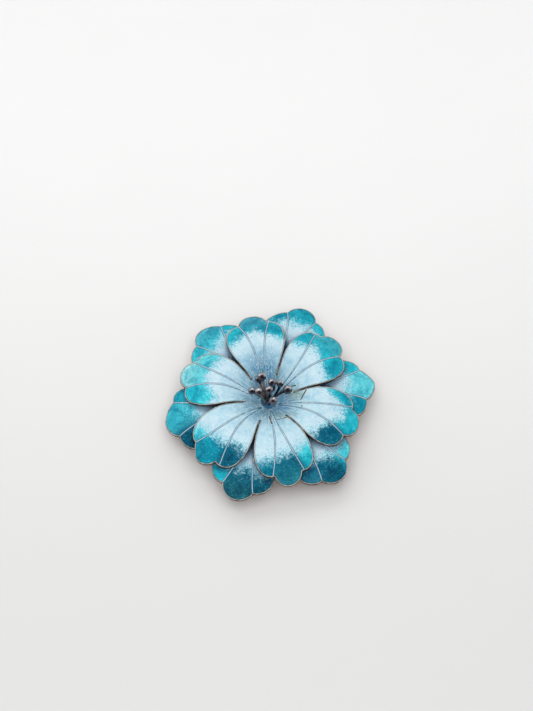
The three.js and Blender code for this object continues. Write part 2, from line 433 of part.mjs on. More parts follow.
// open ring along X, its slot facing down
function slottedTube(ro, ri, slot, x0, x1, n, zc) {
  const a0 = Math.asin(slot / 2 / ri), a1 = Math.asin(slot / 2 / ro), o = [], q = [];
  for (let i = 0; i <= n; i++) {
    const u = i / n, ao = -Math.PI / 2 + a1 + u * (2 * Math.PI - 2 * a1), ai = -Math.PI / 2 + a0 + u * (2 * Math.PI - 2 * a0);
    o.push([ro * Math.cos(ao), ro * Math.sin(ao)]); q.push([ri * Math.cos(ai), ri * Math.sin(ai)]);
  }
  const b = new Builder(), mk = (P, x) => P.map(([y, z]) => b.vert([x, y, z + zc]));
  const O0 = mk(o, x0), O1 = mk(o, x1), I0 = mk(q, x0), I1 = mk(q, x1);
  for (let i = 0; i < n; i++) {
    b.quad(O0[i], O0[i + 1], O1[i + 1], O1[i]);
    b.quad(I0[i], I1[i], I1[i + 1], I0[i + 1]);
    b.quad(O0[i], I0[i], I0[i + 1], O0[i + 1]);
    b.quad(O1[i], O1[i + 1], I1[i + 1], I1[i]);
  }
  b.quad(O0[0], O1[0], I1[0], I0[0]); b.quad(O0[n], I0[n], I1[n], O1[n]);
  return b.geometry();
}

const zSeat = (layer) => layer.profile(R_FLAT);
const Z_UP_TOP = zSeat(upper) + H_PLATE_TOP, Z_UP_BOT = zSeat(upper) + H_PLATE_BOT;
const Z_LO_TOP = zSeat(lower) + H_PLATE_TOP, Z_LO_BOT = zSeat(lower) + H_PLATE_BOT;
const BAR_TOP = Z_LO_BOT - 0.06, BAR_BOT = BAR_TOP - BAR_T;
const AXIS_Z = BAR_BOT - 2.75;       // the pin stem's centre line
const TABLE_Z = AXIS_Z - HOUSING_RO; // lowest point of the finding

const rivet = () => lathe([[0, BAR_TOP + 0.06], [1.38, BAR_TOP + 0.06], [1.38, Z_UP_TOP + 0.06], [HEAD_R, Z_UP_TOP + 0.06], [HEAD_R, HEAD_TOP - 0.12], [HEAD_R - 0.25, HEAD_TOP], [0, HEAD_TOP]], 16);
const collar = () => lathe([[1.6, Z_LO_TOP + 0.05], [2.5, Z_LO_TOP + 0.05], [2.5, Z_UP_BOT - 0.05], [1.6, Z_UP_BOT - 0.05], [1.6, Z_LO_TOP + 0.05]], 16);

function bar() { // flat bar with rounded ends, its middle face left whole
  const h = BAR_W / 2, X = BAR_L / 2, out = [];
  const end = (sx) => { const q = []; for (let i = 0; i <= 6; i++) { const a = -Math.PI / 2 + i / 6 * Math.PI; q.push([sx * (X - h + h * Math.cos(a)), h * Math.sin(a) * sx]); } return q; };
  const right = end(1), left = end(-1);
  const pts = [...right, [9, h], [-9, h], ...left, [-9, -h], [9, -h]];
  const b = new Builder(), T = pts.map(([x, y]) => b.vert([x, y, BAR_TOP])), B = pts.map(([x, y]) => b.vert([x, y, BAR_BOT])), n = pts.length;
  const iR0 = 0, iR6 = 6, iU1 = 7, iU2 = 8, iL0 = 9, iL6 = 15, iD1 = 16, iD2 = 17;
  const face = (V, flip) => {
    const t = (a, c, d) => flip ? b.tri(V[a], V[d], V[c]) : b.tri(V[a], V[c], V[d]);
    for (let i = 0; i < 6; i++) t(iD2, iR0 + i, iR0 + i + 1); t(iD2, iR6, iU1);
    t(iD1, iD2, iU1); t(iD1, iU1, iU2);
    for (let i = 0; i < 6; i++) t(iU2, iL0 + i, iL0 + i + 1); t(iU2, iL6, iD1);
  };
  face(T, false); face(B, true);
  for (let i = 0; i < n; i++) { const k = (i + 1) % n; b.quad(T[k], T[i], B[i], B[k]); }
  return b.geometry();
}

function hingeBracket() { // base on the bar, two lugs either side of the stem's eye
  const z1 = BAR_BOT - 0.06, z0 = z1 - 0.5;
  let m = solid(box(HINGE_X - 2.2, HINGE_X + 1.9, -2, 2, z0, z1));
  for (const y of [[-1.75, -1.05], [1.05, 1.75]]) {
    const s = new THREE.Shape(); // x, z outline of a lug
    s.moveTo(HINGE_X - 2.0, z0 + 0.2); s.lineTo(HINGE_X - 2.0, AXIS_Z - 0.9); s.lineTo(HINGE_X - 1.2, TABLE_Z); s.lineTo(HINGE_X + 0.8, TABLE_Z);
    s.lineTo(HINGE_X + 1.6, AXIS_Z - 0.9); s.lineTo(HINGE_X + 1.6, z0 + 0.2); s.closePath();
    const g = new THREE.ExtrudeGeometry(s, { depth: y[1] - y[0], bevelEnabled: false }); g.rotateX(Math.PI / 2); g.translate(0, y[1], 0);
    m = m.add(solid(g));
  }
  return fromSolid(m.subtract(solid(rod(0.62, -3, 3, 'y', 12, HINGE_X, 0, AXIS_Z))));
}
const hingeRivet = () => {
  const p = [[0, -2.2], [0.85, -2.2], [0.85, -1.87], [0.5, -1.87], [0.5, 1.87], [0.85, 1.87], [0.85, 2.2], [0, 2.2]];
  const g = new THREE.LatheGeometry(p.map(([r, y]) => new THREE.Vector2(r, y)), 12); g.translate(HINGE_X, 0, AXIS_Z); return g;
};
function pinStem() { // flat eye on the rivet and a pointed stem
  const eye = solid(rod(1.3, -0.8, 0.8, 'y', 14, HINGE_X, 0, AXIS_Z));
  const n = 10, sec = (x, r) => { const o = []; for (let i = 0; i < n; i++) { const a = i / n * 2 * Math.PI; o.push([x, r * Math.cos(a), AXIS_Z + r * Math.sin(a)]); } return o; };
  const stem = solid(loft([sec(HINGE_X + 0.9, STEM_R), sec(STEM_TIP_X - 4, STEM_R), sec(STEM_TIP_X - 1.6, STEM_R * 0.6), sec(STEM_TIP_X, 0.07)]));
  return fromSolid(eye.add(stem).subtract(solid(rod(0.62, -2, 2, 'y', 12, HINGE_X, 0, AXIS_Z))));
}
function catchHousing() { // slotted ring on a foot
  const x0 = CATCH_X - HOUSING_L / 2, x1 = CATCH_X + HOUSING_L / 2, z1 = BAR_BOT - 0.06;
  const foot = solid(box(x0, x1, -1.1, 1.1, AXIS_Z + 1.75, z1)), base = solid(box(x0 - 0.8, x1 + 0.2, -2, 2, z1 - 0.35, z1));
  return fromSolid(solid(slottedTube(HOUSING_RO, HOUSING_RI, HOUSING_SLOT, x0, x1, 14, AXIS_Z)).add(foot).add(base));
}
function catchRoller() { // slotted sleeve that turns in the housing, with a thumb tab at its outer end
  const x0 = CATCH_X - HOUSING_L / 2 - 0.4, x1 = CATCH_X + HOUSING_L / 2 + 1.3;
  const sleeve = solid(slottedTube(ROLLER_RO, ROLLER_RI, ROLLER_SLOT, x0, x1, 14, AXIS_Z));
  const tab = solid(box(x1 - 1.0, x1, 1.15, 2.6, AXIS_Z - 0.35, AXIS_Z + 0.35));
  return fromSolid(sleeve.add(tab));
}

// ---------------------------------------------------------------- materials
const mat = (color, roughness, metalness) => new THREE.MeshStandardMaterial({ color, roughness, metalness });
const COPPER = mat(0x6b4433, 0.5, 0.9), SILVER = mat(0xc9c6bd, 0.3, 0.95), DARK = mat(0x3a3a40, 0.3, 0.9), STEEL = mat(0xb9bcc0, 0.25, 1);
const BLUES = [0x7fc4da, 0x74c2d4, 0x8ccadd, 0x86c8dc, 0x7dbfd2, 0x6fb6cc], TEALS = [0x3fa7bd, 0x3ba3b8, 0x46aabd, 0x3a9ab3, 0x2f8ba5, 0x3593ab];

// ---------------------------------------------------------------- assembly
const flowerPin = new THREE.Group();
const add = (name, geometry, material) => { const m = new THREE.Mesh(geometry, material); m.name = name; flowerPin.add(m); return m; };
for (const layer of [upper, lower]) {
  add(`${layer.name}_flower_plate`, plate(layer), COPPER);
  for (let k = 0; k < 6; k++) {
    add(`${layer.name}_petal_enamel_${k + 1}`, enamel(layer, k, layer === upper), mat((layer === upper ? BLUES : TEALS)[k], 0.15, 0));
    add(`${layer.name}_petal_edge_wire_${k + 1}`, rimWire(layer, k), SILVER);
    add(`${layer.name}_petal_vein_wire_${k + 1}`, veinWire(layer, k), SILVER);
  }
}
for (let i = 0; i < BEADS.length; i++) add(`stamen_${i + 1}`, stamen(i), DARK);
add('centre_rivet', rivet(), DARK);
add('spacer_collar', finishGeometry(collar()), COPPER);
add('back_bar', bar(), SILVER);
add('hinge_bracket', hingeBracket(), SILVER);
add('hinge_rivet', finishGeometry(hingeRivet()), STEEL);
add('pin_stem', pinStem(), STEEL);
add('catch_housing', catchHousing(), SILVER);
add('catch_roller', catchRoller(), SILVER);

// origin: middle of the outline in plan, lowest point of the finding at z = 0
const bounds = new THREE.Box3().setFromObject(flowerPin);
flowerPin.position.set(-(bounds.min.x + bounds.max.x) / 2, -(bounds.min.y + bounds.max.y) / 2, -bounds.min.z);
flowerPin.updateMatrixWorld(true);

export default flowerPin;
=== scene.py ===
import bpy, math
import numpy as np
from mathutils import Vector, Matrix
from mathutils.geometry import delaunay_2d_cdt


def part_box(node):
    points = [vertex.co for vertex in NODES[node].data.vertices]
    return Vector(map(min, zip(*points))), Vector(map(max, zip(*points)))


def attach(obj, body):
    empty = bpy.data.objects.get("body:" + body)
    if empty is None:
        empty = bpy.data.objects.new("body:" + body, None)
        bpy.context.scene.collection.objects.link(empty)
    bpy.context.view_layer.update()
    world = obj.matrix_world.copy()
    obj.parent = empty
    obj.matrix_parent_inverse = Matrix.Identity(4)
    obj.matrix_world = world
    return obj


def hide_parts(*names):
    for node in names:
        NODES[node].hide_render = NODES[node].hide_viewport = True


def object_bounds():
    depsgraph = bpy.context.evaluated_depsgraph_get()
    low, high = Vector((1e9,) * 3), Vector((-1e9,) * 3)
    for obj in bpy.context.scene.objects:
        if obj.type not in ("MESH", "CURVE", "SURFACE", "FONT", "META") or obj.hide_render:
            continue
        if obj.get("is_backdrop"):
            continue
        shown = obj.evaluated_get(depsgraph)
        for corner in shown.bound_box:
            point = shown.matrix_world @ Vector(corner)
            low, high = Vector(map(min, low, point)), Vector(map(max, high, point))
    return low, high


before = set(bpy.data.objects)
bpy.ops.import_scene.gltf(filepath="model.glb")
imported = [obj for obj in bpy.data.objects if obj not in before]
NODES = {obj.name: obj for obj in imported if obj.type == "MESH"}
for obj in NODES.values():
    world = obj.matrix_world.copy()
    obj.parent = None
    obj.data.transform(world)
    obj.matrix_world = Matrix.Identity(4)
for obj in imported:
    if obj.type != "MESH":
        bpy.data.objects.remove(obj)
CAD_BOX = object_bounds()
RNG = np.random.default_rng(7)
MM = 0.001

# ------------------------------------------------------------------ placing
# The cup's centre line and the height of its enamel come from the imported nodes.
_h0, _h1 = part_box("centre_rivet")
CUP_X, CUP_Y = (_h0.x + _h1.x) / 2 / MM, (_h0.y + _h1.y) / 2 / MM
CUP_Z = _h1.z / MM - 0.08

def to_m(P):
    P = np.asarray(P, float)
    return (P + np.array([CUP_X, CUP_Y, CUP_Z])) * MM

# ------------------------------------------------------------------ flower mathematics (mm, template size)
R_ROOT, R_FLAT, R_HOLE, SV, VEIN_DEG, SLIT_HALF = 7.2, 2.6, 1.5, 0.45, 4.6, 0.06
PLATE_T, ENAMEL_T, FIT, RIM_W, RIM_PROUD = 0.4, 0.35, 0.09, 0.25, 0.12
H_TOP = -(ENAMEL_T + FIT); H_BOT = H_TOP - PLATE_T
ZU = ([0, 2.6, 4, 7, 10, 13.5, 16, 18.5, 21, 23, 24.5, 26, 28], [0, 0.05, 0.95, 2.9, 4.5, 5.4, 5.35, 4.75, 3.75, 2.7, 1.85, 0.85, -0.7])
ZL = ([0, 2.6, 5, 8, 11.8, 15, 18, 20.6, 23.6, 26.5, 29.5, 32], [-1.9, -1.88, -1.25, -0.2, 1.05, 1.85, 2.1, 2.0, 1.4, 0.45, -0.9, -2.3])
MID = [[0, 25.6], [1.05, 25.47], [2.05, 25.05], [2.95, 24.32], [3.55, 23.4], [3.85, 22.55]]
SIDE = [[3.85, 22.55], [4.9, 22.45], [6.15, 21.9], [7.15, 20.85], [7.8, 19.3], [8.0, 17.4]]
UP = [dict(turn=0, len=1, nl=0.98, nr=1.08, wl=0.94, wr=1.06, lift=0, cl=0.06, cr=0, el=0, er=0, bl=0, br=0),
      dict(turn=0, len=1.01, nl=1.07, nr=1.02, wl=1, wr=1.02, lift=0.1, cl=0.11, cr=0, el=0, er=-0.2, bl=0, br=0),
      dict(turn=0, len=1, nl=1, nr=1.08, wl=1, wr=0.99, lift=0, cl=0, cr=0.04, el=0, er=0, bl=0, br=0),
      dict(turn=0, len=0.99, nl=1.1, nr=0.96, wl=1.04, wr=0.92, lift=0, cl=0, cr=0, el=0, er=0, bl=0, br=0),
      dict(turn=0, len=1.02, nl=1.1, nr=0.86, wl=1.08, wr=0.92, lift=0, cl=0.1, cr=0, el=0, er=0.25, bl=0, br=0.7),
      dict(turn=1.2, len=1, nl=1.03, nr=0.92, wl=0.97, wr=0.975, lift=0, cl=0.05, cr=0.04, el=0, er=0, bl=0, br=0)]
LO = [dict(turn=0, len=1, nl=0.92, nr=1.04, wl=0.87, wr=0.94, lift=0, cl=0, cr=0, el=0.1, er=0.1, bl=0.6, br=0.2),
      dict(turn=-1.2, len=1.015, nl=0.9, nr=0.97, wl=1.02, wr=0.87, lift=0, cl=0, cr=0, el=0.5, er=0.15, bl=0, br=0),
      dict(turn=-0.6, len=0.968, nl=0.98, nr=1.12, wl=0.97, wr=0.97, lift=0, cl=0, cr=0, el=0.2, er=0.5, bl=0, br=0.15),
      dict(turn=0.6, len=0.965, nl=1.12, nr=1.2, wl=1.02, wr=0.97, lift=0, cl=0, cr=0, el=0.3, er=0.1, bl=0, br=0.5),
      dict(turn=0, len=0.99, nl=1, nr=0.96, wl=0.96, wr=0.96, lift=0, cl=0, cr=0, el=0.5, er=0.15, bl=0, br=0),
      dict(turn=0, len=0.995, nl=0.96, nr=1.02, wl=0.95, wr=0.95, lift=0, cl=0, cr=0, el=0.25, er=0.5, bl=0, br=0)]

def smooth(a, b, x):
    t = np.clip((np.asarray(x, float) - a) / (b - a), 0, 1)
    return t * t * (3 - 2 * t)

def monotone(xs, ys):
    xs, ys = np.asarray(xs, float), np.asarray(ys, float)
    h = np.diff(xs); d = np.diff(ys) / h; m = np.zeros(len(xs)); m[0] = d[0]; m[-1] = d[-1]
    for i in range(1, len(xs) - 1):
        if d[i - 1] * d[i] > 0:
            w1, w2 = 2 * h[i] + h[i - 1], h[i] + 2 * h[i - 1]
            m[i] = (w1 + w2) / (w1 / d[i - 1] + w2 / d[i])
    def f(x):
        x = np.asarray(x, float)
        k = np.clip(np.searchsorted(xs, x, side="right") - 1, 0, len(xs) - 2)
        t = (x - xs[k]) / h[k]; t2 = t * t; t3 = t2 * t
        return (2 * t3 - 3 * t2 + 1) * ys[k] + (t3 - 2 * t2 + t) * h[k] * m[k] + (-2 * t3 + 3 * t2) * ys[k + 1] + (t3 - t2) * h[k] * m[k + 1]
    return f

def spline(P):
    P = np.asarray(P, float)
    d = np.r_[0, np.cumsum(np.hypot(*np.diff(P, axis=0).T))]; d /= d[-1]; n = len(P); T = np.zeros_like(P)
    for i in range(n):
        if i == 0: T[i] = (P[1] - P[0]) / (d[1] - d[0])
        elif i == n - 1: T[i] = (P[-1] - P[-2]) / (d[-1] - d[-2])
        else:
            a = (P[i] - P[i - 1]) / (d[i] - d[i - 1]); b = (P[i + 1] - P[i]) / (d[i + 1] - d[i]); w = (d[i + 1] - d[i]) / (d[i + 1] - d[i - 1])
            T[i] = w * a + (1 - w) * b
    def f(u):
        u = np.atleast_1d(u).astype(float); k = np.clip(np.searchsorted(d, u, side="right") - 1, 0, n - 2)
        h = (d[k + 1] - d[k])[:, None]; t = (u - d[k])[:, None] / h; t2 = t * t; t3 = t2 * t
        return (2 * t3 - 3 * t2 + 1) * P[k] + (t3 - 2 * t2 + t) * h * T[k] + (-2 * t3 + 3 * t2) * P[k + 1] + (t3 - t2) * h * T[k + 1]
    return f

MIDC, SIDEC = spline(MID), spline(SIDE)

class Layer:
    def __init__(s, name, phase, scale, convex, prof, petals):
        s.name, s.phase, s.S, s.convex, s.prof, s.petals = name, phase, scale, convex, monotone(*prof), petals
    def root_deg(s):
        return 30 - SLIT_HALF / (R_ROOT * s.S) * 180 / math.pi
    def outline(s, k, q):
        p = s.petals[k]; q = np.atleast_1d(q).astype(float); a = np.abs(q); right = q > 0
        n, w, c, e, b = [np.where(right, p[i + "r"], p[i + "l"]) for i in "nwceb"]
        a = a + c * np.where(a < SV, a / SV, (1 - a) / (1 - SV))
        out = np.where((a <= SV)[:, None], MIDC(np.clip(a / SV, 0, 1)), SIDEC(np.clip((a - SV) / (1 - SV), 0, 1)))
        f = np.where(a <= SV, n, n + (w - n) * (a - SV) / (1 - SV))
        out = out.copy(); out[:, 0] *= f * np.where(right, 1, -1)
        out[:, 1] += e * np.exp(-((a - SV) / 0.13) ** 2) - b * np.sin(np.pi * np.minimum(a / SV, 1))
        return out
    def plan(s, k, q, t):
        q = np.atleast_1d(q).astype(float); t = np.atleast_1d(t).astype(float); q, t = np.broadcast_arrays(q, t)
        a = np.abs(q); sg = np.where(q < 0, -1.0, 1.0)
        deg = np.where(a <= SV, VEIN_DEG * a / SV, VEIN_DEG + (s.root_deg() - VEIN_DEG) * (a - SV) / (1 - SV))
        an = np.radians(deg) * sg; d0 = np.stack([np.sin(an), np.cos(an)], -1)
        r = R_ROOT + np.minimum(t, 0) * (R_ROOT - R_FLAT / s.S)
        Q = R_ROOT * d0; P = s.outline(k, q)
        w = np.clip((a - SV) / (1 - SV), 0, 1); v = np.clip(a / SV, 0, 1)
        dx = np.where(a <= SV, 0.42 * v, 0.42 * (1 - w)) * sg; d1 = np.stack([dx, np.sqrt(1 - dx * dx)], -1)
        L = np.hypot(*(P - Q).T)[:, None]; C1 = Q + d0 * L * 0.33; C2 = P - d1 * L * 0.31
        u = (1 - t)[:, None]; tt = t[:, None]
        cub = u ** 3 * Q + 3 * u * u * tt * C1 + 3 * u * tt * tt * C2 + tt ** 3 * P
        return np.where((t <= 0)[:, None], r[:, None] * d0, cub)
    def at(s, k, xy, h=0.0):
        xy = np.asarray(xy, float) * s.S; x, y = xy[..., 0], xy[..., 1]; p = s.petals[k]
        r = np.hypot(x, y); w = smooth(R_ROOT * s.S, R_ROOT * s.S * 1.9, r)
        z = s.height(k, x, y)
        th = np.radians(s.phase + 60 * k + p["turn"] * w) - np.arctan2(x, y); rr = r * (1 + (p["len"] - 1) * w)
        return np.stack([rr * np.cos(th), rr * np.sin(th), z + h], -1)
    def height(s, k, x, y):  # x, y in real mm, petal axes
        r = np.hypot(x, y)
        lift = np.array([p["lift"] for p in s.petals])[k]
        return s.prof(r) - s.convex * x * x * smooth(R_ROOT * s.S * 0.8, R_ROOT * s.S * 2.2, r) + lift * smooth(R_ROOT * s.S, 25 * s.S, r)
    def local(s, X, Y):
        """plan point of the flower -> petal number and petal axes (template size)"""
        X, Y = np.asarray(X, float), np.asarray(Y, float); R = np.hypot(X, Y); A = np.degrees(np.arctan2(Y, X))
        k = np.round((A - s.phase) / 60).astype(int) % 6
        turn = np.array([p["turn"] for p in s.petals])[k]; ln = np.array([p["len"] for p in s.petals])[k]
        r = R.copy()
        for _ in range(8):
            w = smooth(R_ROOT * s.S, R_ROOT * s.S * 1.9, r); r = R / (1 + (ln - 1) * w)
        w = smooth(R_ROOT * s.S, R_ROOT * s.S * 1.9, r)
        dev = np.radians(s.phase + 60 * k + turn * w - A)  # positive to the right
        dev = (dev + np.pi) % (2 * np.pi) - np.pi
        return k, r * np.sin(dev) / s.S, r * np.cos(dev) / s.S
    def surf(s, X, Y):
        k, x, y = s.local(X, Y)
        return s.height(k, x * s.S, y * s.S)

U = Layer("upper", -18.2, 1.0, 0.014, ZU, UP)
L = Layer("lower", 11.5, 1.165, 0.022, ZL, LO)

# ------------------------------------------------------------------ mesh helpers
def make_mesh(name, V, F, smooth_shade=True, mats=(), attrs=None, uv=None):
    me = bpy.data.meshes.new(name); me.from_pydata([tuple(v) for v in V], [], [tuple(f) for f in F]); me.update()
    if smooth_shade: me.shade_smooth()
    for m in mats: me.materials.append(m)
    for key, (kind, data) in (attrs or {}).items():
        at = me.attributes.new(key, kind, "POINT")
        if kind == "FLOAT": at.data.foreach_set("value", np.asarray(data, np.float32).ravel())
        elif kind == "FLOAT_COLOR":
            c = np.ones((len(V), 4), np.float32); c[:, :3] = data; at.data.foreach_set("color", c.ravel())
        elif kind == "FLOAT_VECTOR": at.data.foreach_set("vector", np.asarray(data, np.float32).ravel())
    ob = bpy.data.objects.new(name, me); bpy.context.scene.collection.objects.link(ob)
    return ob

def fix_normals(ob):
    import bmesh
    bm = bmesh.new(); bm.from_mesh(ob.data); bmesh.ops.recalc_face_normals(bm, faces=bm.faces); bm.to_mesh(ob.data); bm.free(); ob.data.update()

def inside(poly, P):
    x, y = P[:, 0], P[:, 1]; out = np.zeros(len(P), bool); n = len(poly)
    for i in range(n):
        x0, y0 = poly[i]; x1, y1 = poly[(i + 1) % n]
        if y0 == y1: continue
        c = ((y0 > y) != (y1 > y)) & (x < (x1 - x0) * (y - y0) / (y1 - y0) + x0)
        out ^= c
    return out

def seg_dist(P, lines):
    """distance from each point to the nearest of a set of polylines"""
    best = np.full(len(P), 1e9)
    for Ln in lines:
        A, B = Ln[:-1], Ln[1:]
        for a, b in zip(A, B):
            d = b - a; l2 = d @ d
            if l2 < 1e-12: continue
            m = np.abs(P[:, 0] - (a[0] + b[0]) / 2) < 1.6 + abs(d[0]); m &= np.abs(P[:, 1] - (a[1] + b[1]) / 2) < 1.6 + abs(d[1])
            if not m.any(): continue
            q = P[m]; t = np.clip(((q - a) @ d) / l2, 0, 1)
            best[m] = np.minimum(best[m], np.hypot(*(q - a - t[:, None] * d).T))
    return best

def offset_open(P, w):
    """moves an open polyline to its left by w"""
    P = np.asarray(P, float); e = np.diff(P, axis=0); e /= np.maximum(np.hypot(*e.T), 1e-9)[:, None]
    n = np.stack([-e[:, 1], e[:, 0]], -1); N = np.vstack([n[:1], n[:-1] + n[1:], n[-1:]]); N /= np.maximum(np.hypot(*N.T), 1e-9)[:, None]
    nn = np.vstack([n[:1], n]); c = np.maximum((N * nn).sum(1), 0.6)
    return P + N * (w / c)[:, None]

def resample(P, step):
    P = np.asarray(P, float); d = np.r_[0, np.cumsum(np.hypot(*np.diff(P, axis=0).T))]
    n = max(2, int(round(d[-1] / step)) + 1); u = np.linspace(0, d[-1], n)
    return np.stack([np.interp(u, d, P[:, 0]), np.interp(u, d, P[:, 1])], -1)

def petal_edge(layer, k, fine=1.0):
    """plan outline of a petal in the flower's axes, from its right slit root, round the tip, to its left slit root (anticlockwise)"""
    t = np.linspace(0, 1, 40)
    s1 = np.linspace(1, SV, 40)[1:]; s2 = np.linspace(SV, -SV, 70)[1:]; s3 = np.linspace(-SV, -1, 40)[1:]
    loc = np.vstack([layer.plan(k, 1.0, t), layer.plan(k, s1, 1.0), layer.plan(k, s2, 1.0), layer.plan(k, s3, 1.0), layer.plan(k, -1.0, t[::-1])[1:]])
    return layer.at(k, loc)[:, :2]

def vein_path(layer, k):
    """plan centre line of a petal's hairpin vein wire: in along the left vein, round, out along the right one"""
    t = np.linspace(0.985, 0.085, 60)
    a, b = layer.plan(k, -SV, t), layer.plan(k, SV, t[::-1])
    n = 9; mid = (a[-1] + b[0]) / 2; half = (b[0] - a[-1])[0] / 2
    th = np.linspace(math.pi, 2 * math.pi, n)[1:-1]
    turn = np.stack([mid[0] + half * np.cos(th), mid[1] + half * 0.9 * np.sin(th)], -1)
    loc = np.vstack([a, turn, b])
    return layer.at(k, loc)[:, :2]

def cdt(points, loops, extra_edges=()):
    V = [Vector((float(x), float(y))) for x, y in points]; E = list(extra_edges)
    for lp in loops: E += [(lp[i], lp[(i + 1) % len(lp)]) for i in range(len(lp))]
    vo, _, fo, *_ = delaunay_2d_cdt(V, E, [], 0, 1e-6)
    return np.array([[v.x, v.y] for v in vo]), np.array(fo)

def layer_loop(layer, inset, step):
    """the layer's whole outline moved inwards, as one closed anticlockwise loop"""
    pts = []
    for k in range(6): pts.append(petal_edge(layer, k))
    P = np.vstack(pts); n = len(P)
    if inset:
        e = np.roll(P, -1, 0) - P; ln = np.hypot(*e.T); e /= np.maximum(ln, 1e-9)[:, None]
        nrm = np.stack([-e[:, 1], e[:, 0]], -1); N = nrm + np.roll(nrm, 1, 0); N /= np.maximum(np.hypot(*N.T), 1e-9)[:, None]
        c = np.maximum((N * nrm).sum(1), 0.65); P = P + N * (inset / c)[:, None]
    # resample with the cusps kept: walk and keep points at least step apart
    keep = [0]
    for i in range(1, n):
        if np.hypot(*(P[i] - P[keep[-1]])) >= step: keep.append(i)
    if np.hypot(*(P[keep[-1]] - P[0])) < step * 0.6: keep.pop()
    return P[keep]

def fill_points(loop, hole_r, step, keep_off, bands=()):
    """hexagonal points inside a loop, clear of the middle hole; bands is not used"""
    lo, hi = loop.min(0), loop.max(0); rows = []
    ys = np.arange(lo[1], hi[1], step * math.sqrt(3) / 2)
    for i, y in enumerate(ys):
        xs = np.arange(lo[0] + (i % 2) * step / 2, hi[0], step); rows.append(np.stack([xs, np.full(len(xs), y)], -1))
    P = np.vstack(rows)
    P = P[inside(loop, P)]; P = P[np.hypot(*P.T) > hole_r + keep_off]
    return P

def slab(name, layer, inset, hole_r, step, h_top, h_bot, detail=None, rows=(), row_keep=0.12):
    """closed shell over a layer's outline. detail(X, Y) adds height on the top side and returns attributes"""
    loop = layer_loop(layer, inset, step * 0.7)
    closed = np.vstack([loop, loop[:1]])
    nh = 48; ha = np.linspace(0, 2 * math.pi, nh, endpoint=False); hole = hole_r * np.stack([np.cos(ha), np.sin(ha)], -1)
    P = fill_points(loop, hole_r, step, step * 0.5)
    P = P[seg_dist(P, [closed]) > step * 0.45]
    extra = []
    for row in rows:
        q = row[inside(loop, row)]; q = q[np.hypot(*q.T) > hole_r + 0.1]; q = q[seg_dist(q, [closed]) > 0.1]; extra.append(q)
    if extra:
        ex = np.vstack(extra)
        key = np.round(ex / (row_keep * 0.7)).astype(int); _, ui = np.unique(key, axis=0, return_index=True); ex = ex[np.sort(ui)]
        # drop plain points that crowd the rows
        cell = {}
        for q in ex: cell.setdefault((int(q[0] // step), int(q[1] // step)), []).append(q)
        ok = np.ones(len(P), bool)
        for i, p in enumerate(P):
            cx, cy = int(p[0] // step), int(p[1] // step)
            for dx in (-1, 0, 1):
                for dy in (-1, 0, 1):
                    for q in cell.get((cx + dx, cy + dy), ()):
                        if (p[0] - q[0]) ** 2 + (p[1] - q[1]) ** 2 < (step * 0.5) ** 2: ok[i] = False
        P = np.vstack([P[ok], ex])
    allp = np.vstack([loop, hole, P]); nl = len(loop)
    V2, F = cdt(allp, [list(range(nl)), list(range(nl, nl + nh))])
    C = V2[F].mean(1); m = inside(loop, C) & (np.hypot(*C.T) > hole_r * math.cos(math.pi / nh)); F = F[m]
    a = V2[F]; cr = (a[:, 1, 0] - a[:, 0, 0]) * (a[:, 2, 1] - a[:, 0, 1]) - (a[:, 1, 1] - a[:, 0, 1]) * (a[:, 2, 0] - a[:, 0, 0])
    F = F[np.abs(cr) > 1e-7]; cr = cr[np.abs(cr) > 1e-7]; F[cr < 0] = F[cr < 0][:, ::-1]
    used = np.unique(F); remap = -np.ones(len(V2), int); remap[used] = np.arange(len(used)); V2 = V2[used]; F = remap[F]
    Z = layer.surf(V2[:, 0], V2[:, 1])
    extra_h, attrs = (detail(V2[:, 0], V2[:, 1], Z) if detail else (0.0, {}))
    top = np.column_stack([V2, Z + h_top + extra_h]); bot = np.column_stack([V2, Z + h_bot]); n = len(V2)
    # boundary edges
    E = np.vstack([F[:, [0, 1]], F[:, [1, 2]], F[:, [2, 0]]]); key = {(a, b) for a, b in E.tolist()}
    B = [(a, b) for a, b in key if (b, a) not in key]
    faces = F.tolist() + (F[:, ::-1] + n).tolist()
    for a, b in B: faces.append([b, a, a + n, b + n])
    V = np.vstack([top, bot])
    at = {k: (kind, np.concatenate([d, d])) for k, (kind, d) in attrs.items()}
    at["face"] = ("FLOAT", np.r_[np.ones(n), np.zeros(n)])
    return to_m(V), faces, at, len(F), n

def sweep(path, section, up, closed_ends=True, frame_n=None):
    """section points (u across to the left, v up) carried along a 3-D path"""
    path = np.asarray(path, float); n = len(path); t = np.gradient(path, axis=0); t /= np.linalg.norm(t, axis=1)[:, None]
    up = np.broadcast_to(up, path.shape).astype(float)
    side = np.cross(up, t); side /= np.linalg.norm(side, axis=1)[:, None]; nu = np.cross(t, side)
    V = []; m = section.shape[-2]
    for i in range(n):
        sec = section[i] if section.ndim == 3 else section
        V.append(path[i] + sec[:, :1] * side[i] + sec[:, 1:2] * nu[i])
    V = np.vstack(V); F = []
    for i in range(n - 1):
        for j in range(m):
            k = (j + 1) % m; F.append([i * m + j, i * m + k, (i + 1) * m + k, (i + 1) * m + j])
    if closed_ends: F.append(list(range(m))[::-1]); F.append([(n - 1) * m + j for j in range(m)])
    return V, F

# ------------------------------------------------------------------ colour helpers
def lin(c):
    c = np.asarray(c, float) / 255.0
    return np.where(c <= 0.04045, c / 12.92, ((c + 0.055) / 1.055) ** 2.4)

